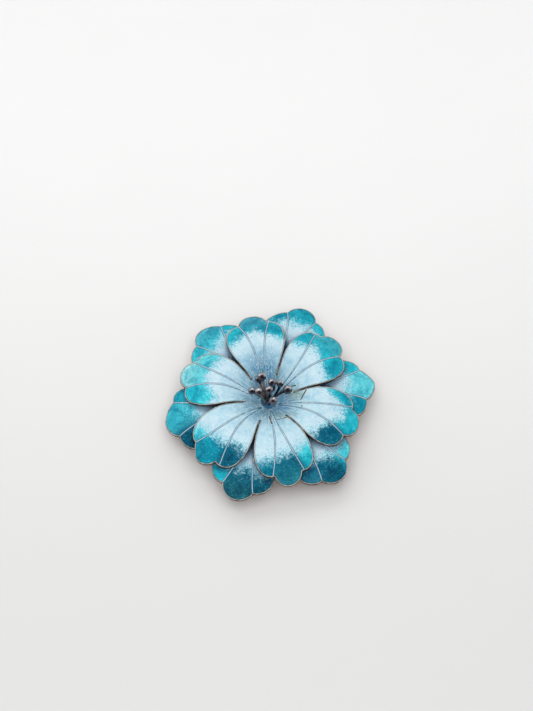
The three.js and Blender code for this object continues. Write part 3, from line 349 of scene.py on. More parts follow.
class Mat:
    def __init__(s, name):
        s.m = bpy.data.materials.new(name); s.m.use_nodes = True; s.nt = s.m.node_tree; s.nt.nodes.clear()
        s.out = s.n("ShaderNodeOutputMaterial"); s.b = s.n("ShaderNodeBsdfPrincipled"); s.l(s.b.outputs[0], s.out.inputs[0])
    def n(s, kind, **kw):
        o = s.nt.nodes.new(kind)
        for k, v in kw.items(): setattr(o, k, v)
        return o
    def l(s, a, b): s.nt.links.new(a, b)
    def put(s, sock, v):
        if hasattr(v, "links") or hasattr(v, "is_output"): s.l(v, sock)
        else: sock.default_value = v
    def attr(s, name, out="Fac"):
        o = s.n("ShaderNodeAttribute"); o.attribute_type = "GEOMETRY"; o.attribute_name = name; return o.outputs[out]
    def math(s, op, a, b=None, c=None, clamp=False):
        o = s.n("ShaderNodeMath", operation=op); o.use_clamp = clamp; s.put(o.inputs[0], a)
        if b is not None: s.put(o.inputs[1], b)
        if c is not None: s.put(o.inputs[2], c)
        return o.outputs[0]
    def coord(s): return s.n("ShaderNodeTexCoord").outputs["Object"]
    def noise(s, scale, detail=2.0, rough=0.5, dist=0.0, vec=None, out="Fac"):
        o = s.n("ShaderNodeTexNoise"); s.l(vec or s.coord(), o.inputs["Vector"]); o.inputs["Scale"].default_value = scale
        o.inputs["Detail"].default_value = detail; o.inputs["Roughness"].default_value = rough; o.inputs["Distortion"].default_value = dist
        return o.outputs[out]
    def voronoi(s, scale, feature="F1", out="Distance", rnd=1.0):
        o = s.n("ShaderNodeTexVoronoi", feature=feature); s.l(s.coord(), o.inputs["Vector"]); o.inputs["Scale"].default_value = scale; o.inputs["Randomness"].default_value = rnd
        return o.outputs[out]
    def ramp(s, fac, stops, interp="LINEAR"):
        o = s.n("ShaderNodeValToRGB"); s.l(fac, o.inputs[0]); r = o.color_ramp; r.interpolation = interp
        while len(r.elements) > 1: r.elements.remove(r.elements[-1])
        for i, (p, c) in enumerate(stops):
            e = r.elements[0] if i == 0 else r.elements.new(p)
            e.position = p; e.color = (*c, 1) if len(c) == 3 else c
        return o.outputs[0]
    def step(s, fac, a, b):  # smooth 0..1 between a and b
        o = s.n("ShaderNodeMapRange", interpolation_type="SMOOTHSTEP"); s.put(o.inputs[0], fac); o.inputs[1].default_value = a; o.inputs[2].default_value = b
        return o.outputs[0]
    def mix(s, fac, a, b, mode="MIX"):
        o = s.n("ShaderNodeMix", data_type="RGBA", blend_type=mode); s.put(o.inputs[0], fac)
        for sock, v in ((o.inputs[6], a), (o.inputs[7], b)):
            if hasattr(v, "is_output"): s.l(v, sock)
            else: sock.default_value = (*v, 1)
        return o.outputs[2]
    def bump(s, height, strength, dist, normal=None):
        o = s.n("ShaderNodeBump"); o.inputs["Strength"].default_value = strength; o.inputs["Distance"].default_value = dist; s.l(height, o.inputs["Height"])
        if normal is not None: s.l(normal, o.inputs["Normal"])
        return o.outputs[0]

# ------------------------------------------------------------------ enamel colouring, per petal
# where the pale field ends, y against x (template mm)
EDGE_U = [([-6.5, -5, -3.5, 0, 3, 5, 7], [14.8, 17, 20, 20.5, 18.0, 16, 14.8]),
          ([-7, -5, -3, -1, 1, 3, 5, 7], [15, 16, 18, 18.5, 18, 17, 15.5, 15]),
          ([-7, -4, 0, 2, 4, 5.5, 7], [16.3, 18.5, 19.8, 18.8, 18, 16.5, 15.2]),
          ([-7.5, -5.5, -4, -2, 0, 3.5, 6], [14.3, 13.8, 16, 17.8, 18.3, 17.5, 16]),
          ([-8, -5, -3.5, -2, 0, 3, 5], [15.7, 15.8, 17, 18.0, 18.2, 18.8, 20.0]),
          ([-7, -5, -3, 0, 2, 6], [15.5, 16.5, 17.7, 18, 18.3, 17.5])]
EDGE_L = [([-8, -4, 0, 4, 8], [17.6, 18.2, 19.0, 18.2, 16.4]), ([-8, -4, 0, 4, 8], [18.5, 19.8, 20.8, 20.0, 18.2]), ([-8, -4, 0, 4, 8], [17.2, 18.3, 19.6, 19.8, 18.8]),
          ([-8, -4, 0, 4, 8], [16.0, 16.8, 18.0, 18.2, 17.5]), ([-8, -4, 0, 4, 8], [17.0, 18.0, 18.8, 18.6, 17.4]), ([-8, -4, 0, 4, 8], [18.8, 20.0, 19.8, 18.4, 15.6])]
PALE = (197, 226, 236); DISH = (112, 166, 196)
CY, BC, TE, MT, DT, DD, PC = (26, 178, 198), (66, 198, 214), (12, 154, 178), (4, 130, 156), (0, 96, 124), (0, 80, 106), (116, 208, 219)
# tip colours (near the pale field, towards the tip) for the left, middle and right lobe
TIPS_U = [[(CY, TE), ((48, 188, 206), CY), (DT, (0, 90, 118))],
          [(CY, TE), (CY, (52, 166, 184)), (CY, TE)],
          [((22, 172, 192), (22, 166, 186)), (TE, (52, 148, 172)), (CY, TE)],
          [(BC, CY), ((84, 206, 218), (122, 209, 218)), ((58, 194, 210), (98, 206, 216))],
          [(DT, (4, 88, 114)), (TE, MT), (BC, CY)],
          [(BC, CY), (DT, (22, 110, 130)), (MT, DT)]]
TIPS_L = [[(CY, CY), ((100, 207, 220), (86, 199, 212)), (TE, MT)], [(TE, MT), ((14, 162, 184), (16, 146, 168)), (CY, CY)], [(BC, CY), ((62, 188, 206), (60, 166, 186)), (CY, TE)],
          [(DT, DD), ((84, 204, 218), (44, 168, 190)), (CY, TE)], [(DT, (0, 74, 94)), (DT, (18, 86, 102)), (CY, TE)], [(BC, CY), (DT, (0, 80, 104)), ((18, 112, 140), (26, 104, 130))]]
# broad stains and tints, the first a painted shadow under the stamens and the second partly painted stamen shade:
# centre x, y, half widths (mm, flower axes), colour, strength
SPOTS = [(0.3, -1.9, 1.9, 1.1, (30, 84, 128), 0.85), (4.2, -1.4, 2.0, 2.2, (92, 148, 186), 0.75), (7.6, 0.7, 1.9, 1.2, (158, 172, 146), 0.75), (5.3, 2.2, 1.6, 1.2, (120, 140, 138), 0.5),
         (2.6, -4.9, 2.9, 1.1, (140, 166, 156), 0.65), (-1.2, -3.8, 1.4, 1.8, (140, 166, 162), 0.5), (-2.9, -1.2, 1.3, 1.5, (104, 142, 152), 0.6), (2.3, 6.7, 0.9, 1.3, (98, 122, 108), 0.7),
         (-4.0, 4.6, 1.4, 1.6, (104, 140, 150), 0.4), (-5.4, -0.8, 1.5, 0.8, (112, 144, 150), 0.5), (6.5, -5.4, 1.0, 1.2, (150, 170, 160), 0.45), (-0.4, 2.4, 1.6, 1.6, (96, 142, 172), 0.4)]
# hairline cracks: polyline (mm, flower axes), strength
CRACKS = [([(0.2, -5.2), (0.45, -6.4), (0.93, -8.1)], 1.0), ([(2.2, -6.5), (3.6, -6.35), (5.1, -5.95)], 0.75), ([(10.2, 1.5), (9.6, 0.5), (9.1, -0.3), (8.7, -1.3)], 0.9),
          ([(9.0, -3.0), (8.5, -3.9)], 0.6), ([(5.4, 2.9), (6.6, 3.2), (7.4, 3.25)], 0.6), ([(-6.2, -1.0), (-7.2, -1.3)], 0.7)]
# how far a lobe's colour runs over its veins: left vein outwards, inwards, right vein inwards, outwards (template mm)
BLEED = {("lower", 3): (0.55, 3.4, 0.5, 0.55), ("upper", 4): (0.55, 3.2, 0.5, 0.55), ("upper", 5): (2.2, 0.5, 1.6, 0.55), ("upper", 0): (0.55, 0.45, 1.9, 0.55), ("lower", 5): (0.55, 2.4, 0.6, 1.2)}
VEIN_TONE = {"upper": [0.55, 0.9, 0.35, 0.6, 0.75, 0.6], "lower": [0.5] * 6}

def enamel_fields(layer, X, Y):
    k, x, y = layer.local(X, Y); r = np.hypot(x, y); edges = EDGE_U if layer is U else EDGE_L; tips = TIPS_U if layer is U else TIPS_L
    yb = np.zeros(len(X)); near = np.zeros((len(X), 3)); far = np.zeros((len(X), 3))
    for j in range(6):
        m = k == j
        yb[m] = np.interp(x[m], *edges[j])
        p = layer.petals[j]
        vt = np.linspace(0.1, 1, 30); VL, VR = layer.plan(j, -SV, vt), layer.plan(j, SV, vt)
        xl = np.interp(y[m], VL[:, 1], VL[:, 0]); xr = np.interp(y[m], VR[:, 1], VR[:, 0])
        lo, li, ri, ro = BLEED.get((layer.name, j), (0.55, 0.45, 0.45, 0.55)); wl = 1 - smooth(-lo, li, x[m] - xl); wr = smooth(-ri, ro, x[m] - xr); wm = np.clip(1 - wl - wr, 0, 1)
        for arr, idx in ((near, 0), (far, 1)):
            arr[m] = wl[:, None] * lin(tips[j][0][idx]) + wm[:, None] * lin(tips[j][1][idx]) + wr[:, None] * lin(tips[j][2][idx])
    return k, x, y, r, y - yb, near, far

VEINS = {Ly: [vein_path(Ly, k) for k in range(6)] for Ly in (U, L)}

def vein_tails(layer):
    """fine lines that carry the veins on past the hairpins' bends to the middle"""
    out = []
    for k in range(6):
        for sd in (-1, 1):
            t = np.r_[np.linspace(0.30, 0, 10), np.linspace(0, -0.98, 14)[1:]]
            out.append((k, layer.at(k, layer.plan(k, SV * sd, t))[:, :2]))
    return out

def enamel_detail(layer):
    veins = VEINS[layer]; edge = layer_loop(layer, 0, 0.15); edge = np.vstack([edge, edge[:1]])
    over = layer_loop(U, 0, 0.3)
    def f(X, Y, Z):
        k, x, y, r, tip, near, far = enamel_fields(layer, X, Y)
        P = np.stack([X, Y], -1); dv = seg_dist(P, veins); rim = seg_dist(P, [edge])
        fade = smooth(8.5, 12, r)
        h = 0.045 * np.exp(-((dv - 0.11).clip(0) / 0.20) ** 1.4) * fade * smooth(0.08, 0.13, dv) - 0.03 * (1 - smooth(0.04, 0.11, dv)) * fade + 0.05 * np.exp(-((rim - RIM_W).clip(0) / 0.25) ** 1.2)
        ang = np.degrees(np.arctan2(Y, X))
        pale = np.tile(lin(PALE), (len(X), 1)); crack = np.full(len(X), 9.0); tail = np.full(len(X), 9.0); tone = np.zeros(len(X))
        if layer is U:
            blue = (1 - smooth(3.4, 10.5, r)) * 0.85
            # painted shade: the back petal's inner slope, which faces away from the light, darker blue
            back = (1 - smooth(7.5, 17.0, r)) * np.exp(-((ang - 100) / 36) ** 2)
            blue = np.clip(blue, 0, 1)
        else:
            # painted shade: the lower cup's middle, under the upper petals, bluer and darker
            blue = (1 - smooth(13, 20.5, r)) * 0.9
        # the upper cup's blue dish tint, and the lower cup's painted shade
        pale = pale * (1 - blue[:, None]) + (lin(DISH) if layer is U else lin((84, 128, 164))) * blue[:, None]
        # painted shade on the back petal's inner slope
        if layer is U: pale = pale * (1 - back[:, None]) + lin((90, 146, 178)) * back[:, None]
        else:
            # painted shade: dark navy in the deep slits between the upper petals, on the lower cup
            slit = (1 - smooth(12.6, 16.8, r)) * 0.8; pale = pale * (1 - slit[:, None]) + lin((30, 52, 86)) * slit[:, None]
        if layer is U:
            # stains and tints, and the painted shadow under the stamens
            for sx, sy, wx, wy, c, st in SPOTS:
                w = st * np.exp(-(((X - sx) / wx) ** 2 + ((Y - sy) / wy) ** 2)); pale = pale * (1 - w[:, None]) + lin(c) * w[:, None]
            for pl, st in CRACKS:
                crack = np.minimum(crack, seg_dist(P, [np.array(pl)]) + (1 - st) * 0.06)
            for kk, tl in vein_tails(layer):
                tail = np.minimum(tail, seg_dist(P, [tl]) + 0.10 * (1 - VEIN_TONE["upper"][kk]))
        under = np.zeros(len(X))
        if layer is L:  # painted shadow on the lower cup where the upper petals stand over it, falling towards the front
            Q = P + np.array([-0.10, 0.45]); under = np.where(inside(over, Q), 1.0, np.exp(-(seg_dist(Q, [np.vstack([over, over[:1]])]) / 0.85) ** 2))
        return h, {"under": ("FLOAT", under), "pale": ("FLOAT_COLOR", pale), "near": ("FLOAT_COLOR", near), "far": ("FLOAT_COLOR", far), "tip": ("FLOAT", tip), "rr": ("FLOAT", r), "dvein": ("FLOAT", dv),
                   "drim": ("FLOAT", rim - RIM_W), "crack": ("FLOAT", np.minimum(crack, 2)), "tail": ("FLOAT", np.minimum(tail, 2)), "pol": ("FLOAT_VECTOR", np.stack([ang * 0.35, r * 0.25, np.zeros(len(X))], -1))}
    return f

def enamel_material(name, layer):
    M = Mat(name); b = M.b
    tip, rr, dv, dr = M.attr("tip"), M.attr("rr"), M.attr("dvein"), M.attr("drim")
    pale, near, far = M.attr("pale", "Color"), M.attr("near", "Color"), M.attr("far", "Color")
    big = M.noise(230, 3, 0.55); mid = M.noise(1000, 3, 0.65); grain = M.noise(3600, 2, 0.7)
    vc = M.n("ShaderNodeTexVoronoi", feature="F1"); M.l(M.coord(), vc.inputs["Vector"]); vc.inputs["Scale"].default_value = 3300
    sp = M.n("ShaderNodeSeparateColor"); M.l(vc.outputs["Color"], sp.inputs[0]); rnd, rnd2 = sp.outputs[0], sp.outputs[1]
    c = lambda q: M.math("SUBTRACT", q, 0.5)
    # sifted powder: the edge of the pale field drifts, clumps and breaks into single grains
    j = M.math("MULTIPLY_ADD", c(big), 3.8, M.math("MULTIPLY_ADD", c(mid), 4.2, M.math("MULTIPLY_ADD", c(rnd), 1.3, M.math("MULTIPLY_ADD", c(grain), 2.4, tip))))
    m0 = M.step(j, -2.4, 0.3); m1 = M.step(j, -0.9, 1.5)
    m2 = M.step(M.math("MULTIPLY_ADD", c(rnd2), 2.2, M.math("MULTIPLY_ADD", c(mid), 4.0, tip)), 0.6, 4.6)
    tipc = M.mix(m2, near, far)
    cloud = M.ramp(M.noise(380, 4, 0.6), [(0.30, tuple(lin((196, 222, 235)))), (0.50, tuple(lin((232, 242, 247)))), (0.70, tuple(lin((250, 252, 253))))])
    pc = M.mix(1.0, pale, cloud, "MULTIPLY")
    pc = M.mix(M.math("MULTIPLY", M.step(rnd, 0.70, 0.95), 0.22), pc, tuple(lin((132, 190, 212))))
    pc = M.mix(M.math("MULTIPLY", M.step(rnd2, 0.75, 0.97), 0.35), pc, tuple(lin((236, 244, 247))))
    # fine engraved rays under the glass, round the middle
    ray = M.noise(1.0, 3, 0.6, vec=M.attr("pol", "Vector"))
    pc = M.mix(M.math("MULTIPLY", M.step(rr, 12.5, 5.0), M.math("MULTIPLY", M.step(ray, 0.50, 0.66), 0.52)), pc, tuple(lin((86, 134, 162))))
    pc = M.mix(M.math("MULTIPLY", M.step(rr, 12.5, 5.0), M.math("MULTIPLY", M.step(ray, 0.48, 0.36), 0.45)), pc, tuple(lin((206, 232, 240))))
    pc = M.mix(M.math("MULTIPLY", M.step(tip, -6.5, -1.5), 0.42), pc, tuple(lin((222, 236, 243))))
    pc = M.mix(M.math("MULTIPLY", m0, 0.46), pc, tuple(lin((112, 204, 220))))
    pc = M.mix(M.math("MULTIPLY", M.math("MULTIPLY", M.step(rnd2, 0.70, 0.86), M.step(j, -5.0, 0.0)), 0.62), pc, tuple(lin((58, 172, 196))))
    col = M.mix(m1, pc, tipc)
    col = M.mix(M.math("MULTIPLY", M.math("MULTIPLY", M.step(rnd, 0.66, 0.95), m1), 0.15), col, tuple(lin((96, 204, 218))))
    col = M.mix(M.math("MULTIPLY", M.math("MULTIPLY", M.step(rnd2, 0.62, 0.96), m1), 0.24), col, tuple(lin((8, 80, 106))))
    mott = M.ramp(M.noise(620, 4, 0.6), [(0.30, (0.74, 0.80, 0.84)), (0.52, (1, 1, 1)), (0.72, (1.25, 1.10, 1.06))]); col = M.mix(m1, col, M.mix(1.0, col, mott, "MULTIPLY"))
    deep = M.ramp(M.noise(330, 3, 0.55, 0.5), [(0.36, (1.38, 1.16, 1.12)), (0.50, (1, 1, 1)), (0.62, (0.58, 0.74, 0.80))]); col = M.mix(m1, col, M.mix(1.0, col, deep, "MULTIPLY"))
    # the glass runs thin and bright along the edge wire
    thin = M.math("MULTIPLY", M.math("MULTIPLY", M.step(dr, 1.25, 0.30), m1), M.math("MULTIPLY_ADD", M.step(mid, 0.40, 0.60), 0.45, 0.30)); col = M.mix(thin, col, M.mix(1.0, col, M.ramp(mid, [(0.0, (2.3, 1.30, 1.22)), (1.0, (2.3, 1.30, 1.22))]), "MULTIPLY"))
    # painted shadow cast by the upper petals on the lower cup
    col = M.mix(M.math("MULTIPLY", M.attr("under"), 0.72), col, M.mix(1.0, col, M.ramp(mid, [(0.35, (0.22, 0.30, 0.40)), (0.65, (0.34, 0.42, 0.52))]), "MULTIPLY"))
    # pinholes
    v = M.voronoi(780); pin = M.math("MULTIPLY", M.step(v, 0.13, 0.07), M.step(M.noise(420, 2, 0.5), 0.50, 0.60))
    col = M.mix(M.math("MULTIPLY", pin, 0.6), col, tuple(lin((28, 66, 88))))
    # tails of the veins, cracks
    tl = M.attr("tail"); tail = M.math("MULTIPLY", M.step(tl, 0.24, 0.10), M.step(M.noise(700, 3, 0.6), 0.30, 0.48))
    halo = M.math("MULTIPLY", M.step(tl, 0.46, 0.30), M.step(tl, 0.20, 0.28)); col = M.mix(M.math("MULTIPLY", halo, 0.40), col, tuple(lin((208, 230, 236))))
    col = M.mix(M.math("MULTIPLY", tail, 0.85), col, tuple(lin((36, 82, 112))))
    ck = M.attr("crack"); chip = M.math("MULTIPLY", M.step(ck, 0.52, 0.30), M.step(M.noise(520, 3, 0.6), 0.42, 0.56)); col = M.mix(M.math("MULTIPLY", chip, 0.70), col, tuple(lin((214, 220, 208))))
    crk = M.math("MULTIPLY", M.step(ck, 0.24, 0.12), M.step(M.noise(900, 3, 0.6), 0.28, 0.40))
    col = M.mix(M.math("MULTIPLY", crk, 0.94), col, tuple(lin((30, 30, 30))))
    # thin dark line where the enamel meets a wire
    near_v = M.math("MULTIPLY", M.step(dv, 0.38, 0.15), M.step(rr, 8.0, 10.6))
    near_r = M.step(dr, 0.20, 0.02)
    col = M.mix(M.math("MULTIPLY", near_v, 0.78), col, tuple(lin((30, 104, 142))))
    col = M.mix(M.math("MULTIPLY", near_r, 0.50), col, tuple(lin((24, 72, 92))))
    M.l(col, b.inputs["Base Color"])
    M.l(M.ramp(mid, [(0.3, (0.30,) * 3), (0.7, (0.42,) * 3)]), b.inputs["Roughness"]); b.inputs["IOR"].default_value = 1.5
    b.inputs["Specular IOR Level"].default_value = 0.11
    hb = M.math("MULTIPLY_ADD", pin, -1.5, M.math("MULTIPLY_ADD", crk, -1.5, M.math("MULTIPLY_ADD", rnd, 0.10, M.noise(650, 3, 0.5))))
    M.l(M.bump(hb, 0.30, 0.00010), b.inputs["Normal"])
    return M.m

# ------------------------------------------------------------------ metals
def silver_wire_material():
    M = Mat("silver_wire"); b = M.b
    n1 = M.noise(900, 3, 0.6); n2 = M.noise(3000, 2, 0.6); dark = M.attr("dark")
    c = M.ramp(n1, [(0.28, tuple(lin((176, 192, 196)))), (0.46, tuple(lin((216, 226, 228)))), (0.75, tuple(lin((246, 248, 246))))])
    ce = M.ramp(n1, [(0.30, tuple(lin((150, 145, 135)))), (0.48, tuple(lin((204, 203, 194)))), (0.75, tuple(lin((240, 239, 232))))]); c = M.mix(M.attr("edge"), c, ce)
    c = M.mix(M.math("MULTIPLY", M.step(n2, 0.60, 0.74), 0.35), c, tuple(lin((120, 112, 100))))
    # copper brown down the sides, partly stain and partly painted shade, and painted shade towards the slit roots
    c = M.mix(M.math("MULTIPLY", dark, M.math("MULTIPLY_ADD", M.step(n1, 0.75, 0.40), 0.35, 0.62)), c, tuple(lin((66, 54, 48))))
    M.l(c, b.inputs["Base Color"]); b.inputs["Metallic"].default_value = 0.35
    M.l(M.ramp(n1, [(0.3, (0.46,) * 3), (0.7, (0.30,) * 3)]), b.inputs["Roughness"])
    M.l(M.bump(n2, 0.25, 0.00006), b.inputs["Normal"]); return M.m

def copper_material():
    M = Mat("copper_plate"); b = M.b
    n1 = M.noise(140, 5, 0.62, 0.6); n2 = M.noise(1600, 3, 0.6)
    c = M.ramp(n1, [(0.28, tuple(lin((86, 50, 38)))), (0.45, tuple(lin((150, 92, 70)))), (0.58, tuple(lin((190, 124, 96)))), (0.75, tuple(lin((122, 78, 66))))])
    c = M.mix(M.math("MULTIPLY", M.step(n2, 0.56, 0.75), 0.4), c, tuple(lin((62, 38, 32))))
    c = M.mix(M.math("MULTIPLY", M.attr("face"), 0.88), c, tuple(lin((46, 38, 36))))
    M.l(c, b.inputs["Base Color"]); b.inputs["Metallic"].default_value = 0.9
    M.l(M.ramp(n2, [(0.3, (0.34,) * 3), (0.7, (0.52,) * 3)]), b.inputs["Roughness"])
    M.l(M.bump(n1, 0.2, 0.0002), b.inputs["Normal"]); return M.m

def stamen_material():
    M = Mat("stamen_metal"); b = M.b
    n1 = M.noise(620, 3, 0.55); n2 = M.noise(2600, 3, 0.65); tone = M.attr("tone", "Color"); wire = M.attr("wire")
    c = M.mix(1.0, tone, M.ramp(n1, [(0.30, (0.50, 0.52, 0.58)), (0.52, (0.96, 0.98, 1.0)), (0.72, (1.22, 1.16, 1.14))]), "MULTIPLY")
    c = M.mix(M.math("MULTIPLY", M.step(n2, 0.58, 0.72), 0.45), c, tuple(lin((24, 22, 28))))
    M.l(c, b.inputs["Base Color"]); b.inputs["Metallic"].default_value = 0.8
    r = M.math("MULTIPLY_ADD", wire, 0.14, M.math("MULTIPLY_ADD", M.step(n2, 0.45, 0.70), 0.08, 0.06))
    M.l(r, b.inputs["Roughness"])
    M.l(M.bump(n2, 0.12, 0.00006), b.inputs["Normal"]); return M.m

def plated_material(name, tint, rough):
    M = Mat(name); b = M.b
    n1 = M.noise(160, 4, 0.6, 0.3)
    o = M.n("ShaderNodeMapping"); M.l(M.coord(), o.inputs[0]); o.inputs["Scale"].default_value = (0.12, 1, 1)
    n2 = M.noise(4200, 2, 0.6, vec=o.outputs[0])
    c = M.ramp(n1, [(0.28, tuple(lin(np.array(tint) * 0.66))), (0.5, tuple(lin(tint))), (0.75, tuple(lin(np.minimum(np.array(tint) * 1.1, 250))))])
    M.l(c, b.inputs["Base Color"]); b.inputs["Metallic"].default_value = 1.0
    M.l(M.ramp(n2, [(0.3, (rough * 0.75,) * 3), (0.7, (rough * 1.35,) * 3)]), b.inputs["Roughness"])
    M.l(M.bump(n2, 0.12, 0.00004), b.inputs["Normal"]); return M.m

def head_material():
    """rivet head coloured as blue glass, with the dark blue of the painted shadow under the stamens"""
    M = Mat("rivet_head"); b = M.b; n1 = M.noise(900, 3, 0.6); n2 = M.noise(3000, 2, 0.6)
    c = M.ramp(n1, [(0.30, tuple(lin((28, 78, 118)))), (0.52, tuple(lin((54, 112, 150)))), (0.72, tuple(lin((104, 158, 186))))])
    c = M.mix(M.math("MULTIPLY", M.step(n2, 0.60, 0.74), 0.4), c, tuple(lin((50, 58, 70))))
    M.l(c, b.inputs["Base Color"]); b.inputs["Specular IOR Level"].default_value = 0.25; M.l(M.ramp(n2, [(0.3, (0.25,) * 3), (0.7, (0.45,) * 3)]), b.inputs["Roughness"])
    M.l(M.bump(n1, 0.4, 0.0001), b.inputs["Normal"]); return M.m

MAT_SILVER, MAT_COPPER, MAT_STAMEN, MAT_HEAD = silver_wire_material(), copper_material(), stamen_material(), head_material()
MAT_FIND, MAT_STEEL = plated_material("finding_silver", (196, 190, 180), 0.30), plated_material("pin_steel", (188, 190, 194), 0.20)

# ------------------------------------------------------------------ plates, enamel, wires
for layer in (U, L):
    nm = layer.name
    V, F, at, nf, nv = slab(nm + "_plate", layer, 0.03, R_HOLE, 0.75, H_TOP, H_BOT)
    ob = make_mesh(nm + "_copper_plate", V, F, True, [MAT_COPPER], at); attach(ob, "flower"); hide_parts(nm + "_flower_plate")
    rows = []
    for vp in VEINS[layer]:
        for off in (-0.5, -0.32, -0.2, -0.1, 0.1, 0.2, 0.32, 0.5): rows.append(offset_open(resample(vp, 0.34), off))
    for ins in (RIM_W + 0.12, RIM_W + 0.28, RIM_W + 0.5): 
        lp = layer_loop(layer, ins, 0.34); rows.append(lp)
    V, F, at, nf, nv = slab(nm + "_enamel", layer, RIM_W - 0.03, 2.0 if layer is U else 2.6, 0.36, 0.0, -ENAMEL_T, enamel_detail(layer), rows)
    ob = make_mesh(nm + "_enamel", V, F, True, [enamel_material(nm + "_enamel", layer)], at)
    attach(ob, "flower"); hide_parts(*[f"{nm}_petal_enamel_{k}" for k in range(1, 7)])
    for k in range(6):
        # edge wire: flat strip with a rounded top, brown down its outer side
        P = petal_edge(layer, k); P = resample(P, 0.24); C = offset_open(P, RIM_W / 2); Z = layer.surf(C[:, 0], C[:, 1])
        i = np.arange(len(P)); wob = 0.012 * np.sin(i * 0.9 + k) + 0.010 * np.sin(i * 0.37 + 2 * k); wid = 1 + 0.07 * np.sin(i * 0.53 + 3 * k)
        path = np.column_stack([C, Z]); w = RIM_W / 2
        sec0 = np.array([[w, -0.36], [-w, -0.36], [-w, -0.02], [-w * 0.86, 0.05], [-w * 0.62, 0.095], [-w * 0.25, 0.116], [w * 0.15, 0.112], [w * 0.50, 0.085], [w * 0.76, 0.035], [w * 0.86, -0.03]])
        sec = np.stack([sec0 * np.array([g, 1]) + np.array([0, q]) * (sec0[:, 1:] > -0.1) for q, g in zip(wob, wid)])
        V, F = sweep(path, sec, (0, 0, 1)); rr = np.hypot(P[:, 0], P[:, 1]) / layer.S
        # painted shade: wires darker towards the slit roots, and the lower cup's wires a little darker throughout
        root = np.maximum((1 - smooth(10.0, 15.0, rr)) * (0.25 + 0.60 * smooth(7.6, 10.2, rr)), 0.0 if layer is U else 0.18)
        side = np.array([0.0, 1.0, 1.0, 0.92, 0.42, 0.02, 0.0, 0.0, 0.08, 0.35])
        dark = np.clip(np.maximum(root[:, None], side[None, :]), 0, 1).ravel()
        ob = make_mesh(f"{nm}_edge_wire_{k+1}", to_m(V), F, True, [MAT_SILVER], {"dark": ("FLOAT", dark), "edge": ("FLOAT", np.ones(len(dark)))})
        fix_normals(ob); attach(ob, "flower"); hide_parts(f"{nm}_petal_edge_wire_{k+1}")
        # vein wire: half-round, sinking under the enamel towards its bend
        P = resample(VEINS[layer][k], 0.20); Z = layer.surf(P[:, 0], P[:, 1]); rr = np.hypot(P[:, 0], P[:, 1]) / layer.S
        sink = -0.20 * (1 - smooth(8.6, 10.4, rr)); path = np.column_stack([P, Z + sink + 0.008 * np.sin(np.arange(len(P)) * 0.5 + k)])
        w = 0.105; sec0 = np.array([[w, -0.13], [-w, -0.13], [-w, 0.02], [-w * 0.84, 0.075], [-w * 0.5, 0.115], [0, 0.13], [w * 0.5, 0.115], [w * 0.84, 0.075], [w, 0.02]])
        V, F = sweep(path, sec0, (0, 0, 1))
        dark = np.tile(np.array([0.6, 0.6, 0.35, 0.08, 0.0, 0.0, 0.0, 0.08, 0.35]), len(P))
        ob = make_mesh(f"{nm}_vein_wire_{k+1}", to_m(V), F, True, [MAT_SILVER], {"dark": ("FLOAT", dark), "edge": ("FLOAT", np.full(len(dark), 0.0))})
        fix_normals(ob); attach(ob, "flower"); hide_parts(f"{nm}_petal_vein_wire_{k+1}")

# ------------------------------------------------------------------ stamens
BEADS = [(-1.8, 3.45, 9.1), (-2.65, 3.65, 6.8), (-4.45, -0.3, 7.9), (-2.6, -1.1, 9.2), (0.15, -0.8, 9.7), (0.95, 1.95, 8.5), (3.1, 1.95, 7.7), (5.1, 0.4, 7.2), (1.2, -2.85, 7.2)]
BEAD_RADII = [1.20, 1.08, 1.02, 1.10, 1.10, 1.16, 1.02, 1.28, 1.14]
WIRE_R, WIRE_RING, WIRE_X, WIRE_TWIST, HEAD_TOP = 0.34, 1.06, -0.35, 32.0, 0.08
WIRE_ANGLE = [112.5, 157.5, 202.5, 247.5, None, 67.5, 22.5, -22.5, -67.5]
WIRE_BEND = {5: ((0.25, 1.15, 2.3), (1.5, 1.55, 5.4)), 6: ((1.75, 0.95, 2.0), (2.65, 1.35, 5.0)), 3: ((-0.95, -1.05, 2.2), (-1.6, -1.2, 5.4))}
TONE_BALL = [(96, 92, 100), (84, 82, 90), (82, 84, 96), (112, 108, 114), (114, 108, 112), (100, 98, 108), (116, 116, 126), (76, 78, 88), (138, 126, 134)]
TONE_WIRE = [(190, 156, 146), (178, 142, 132), (128, 118, 116), (150, 136, 130), (206, 196, 188), (70, 68, 76), (34, 34, 44), (74, 72, 80), (168, 148, 146)]

def catmull(P, n):
    P = np.asarray(P, float); out = []
    L = len(P); Q = np.vstack([2 * P[0] - P[1], P, 2 * P[-1] - P[-2]])
    for t in np.linspace(0, L - 1, n):
        i = min(int(t), L - 2); w = t - i; p0, p1, p2, p3 = Q[i:i + 4]
        d0, d1, d2 = [max(1e-4, float(((b - a) @ (b - a))) ** 0.25) for a, b in ((p0, p1), (p1, p2), (p2, p3))]
        t1 = ((p1 - p0) / d0 - (p2 - p0) / (d0 + d1) + (p2 - p1) / d1) * d1; t2 = ((p2 - p1) / d1 - (p3 - p1) / (d1 + d2) + (p3 - p2) / d2) * d1
        w2, w3 = w * w, w * w * w
        out.append((2 * w3 - 3 * w2 + 1) * p1 + (w3 - 2 * w2 + w) * t1 + (-2 * w3 + 3 * w2) * p2 + (w3 - w2) * t2)
    return np.array(out)

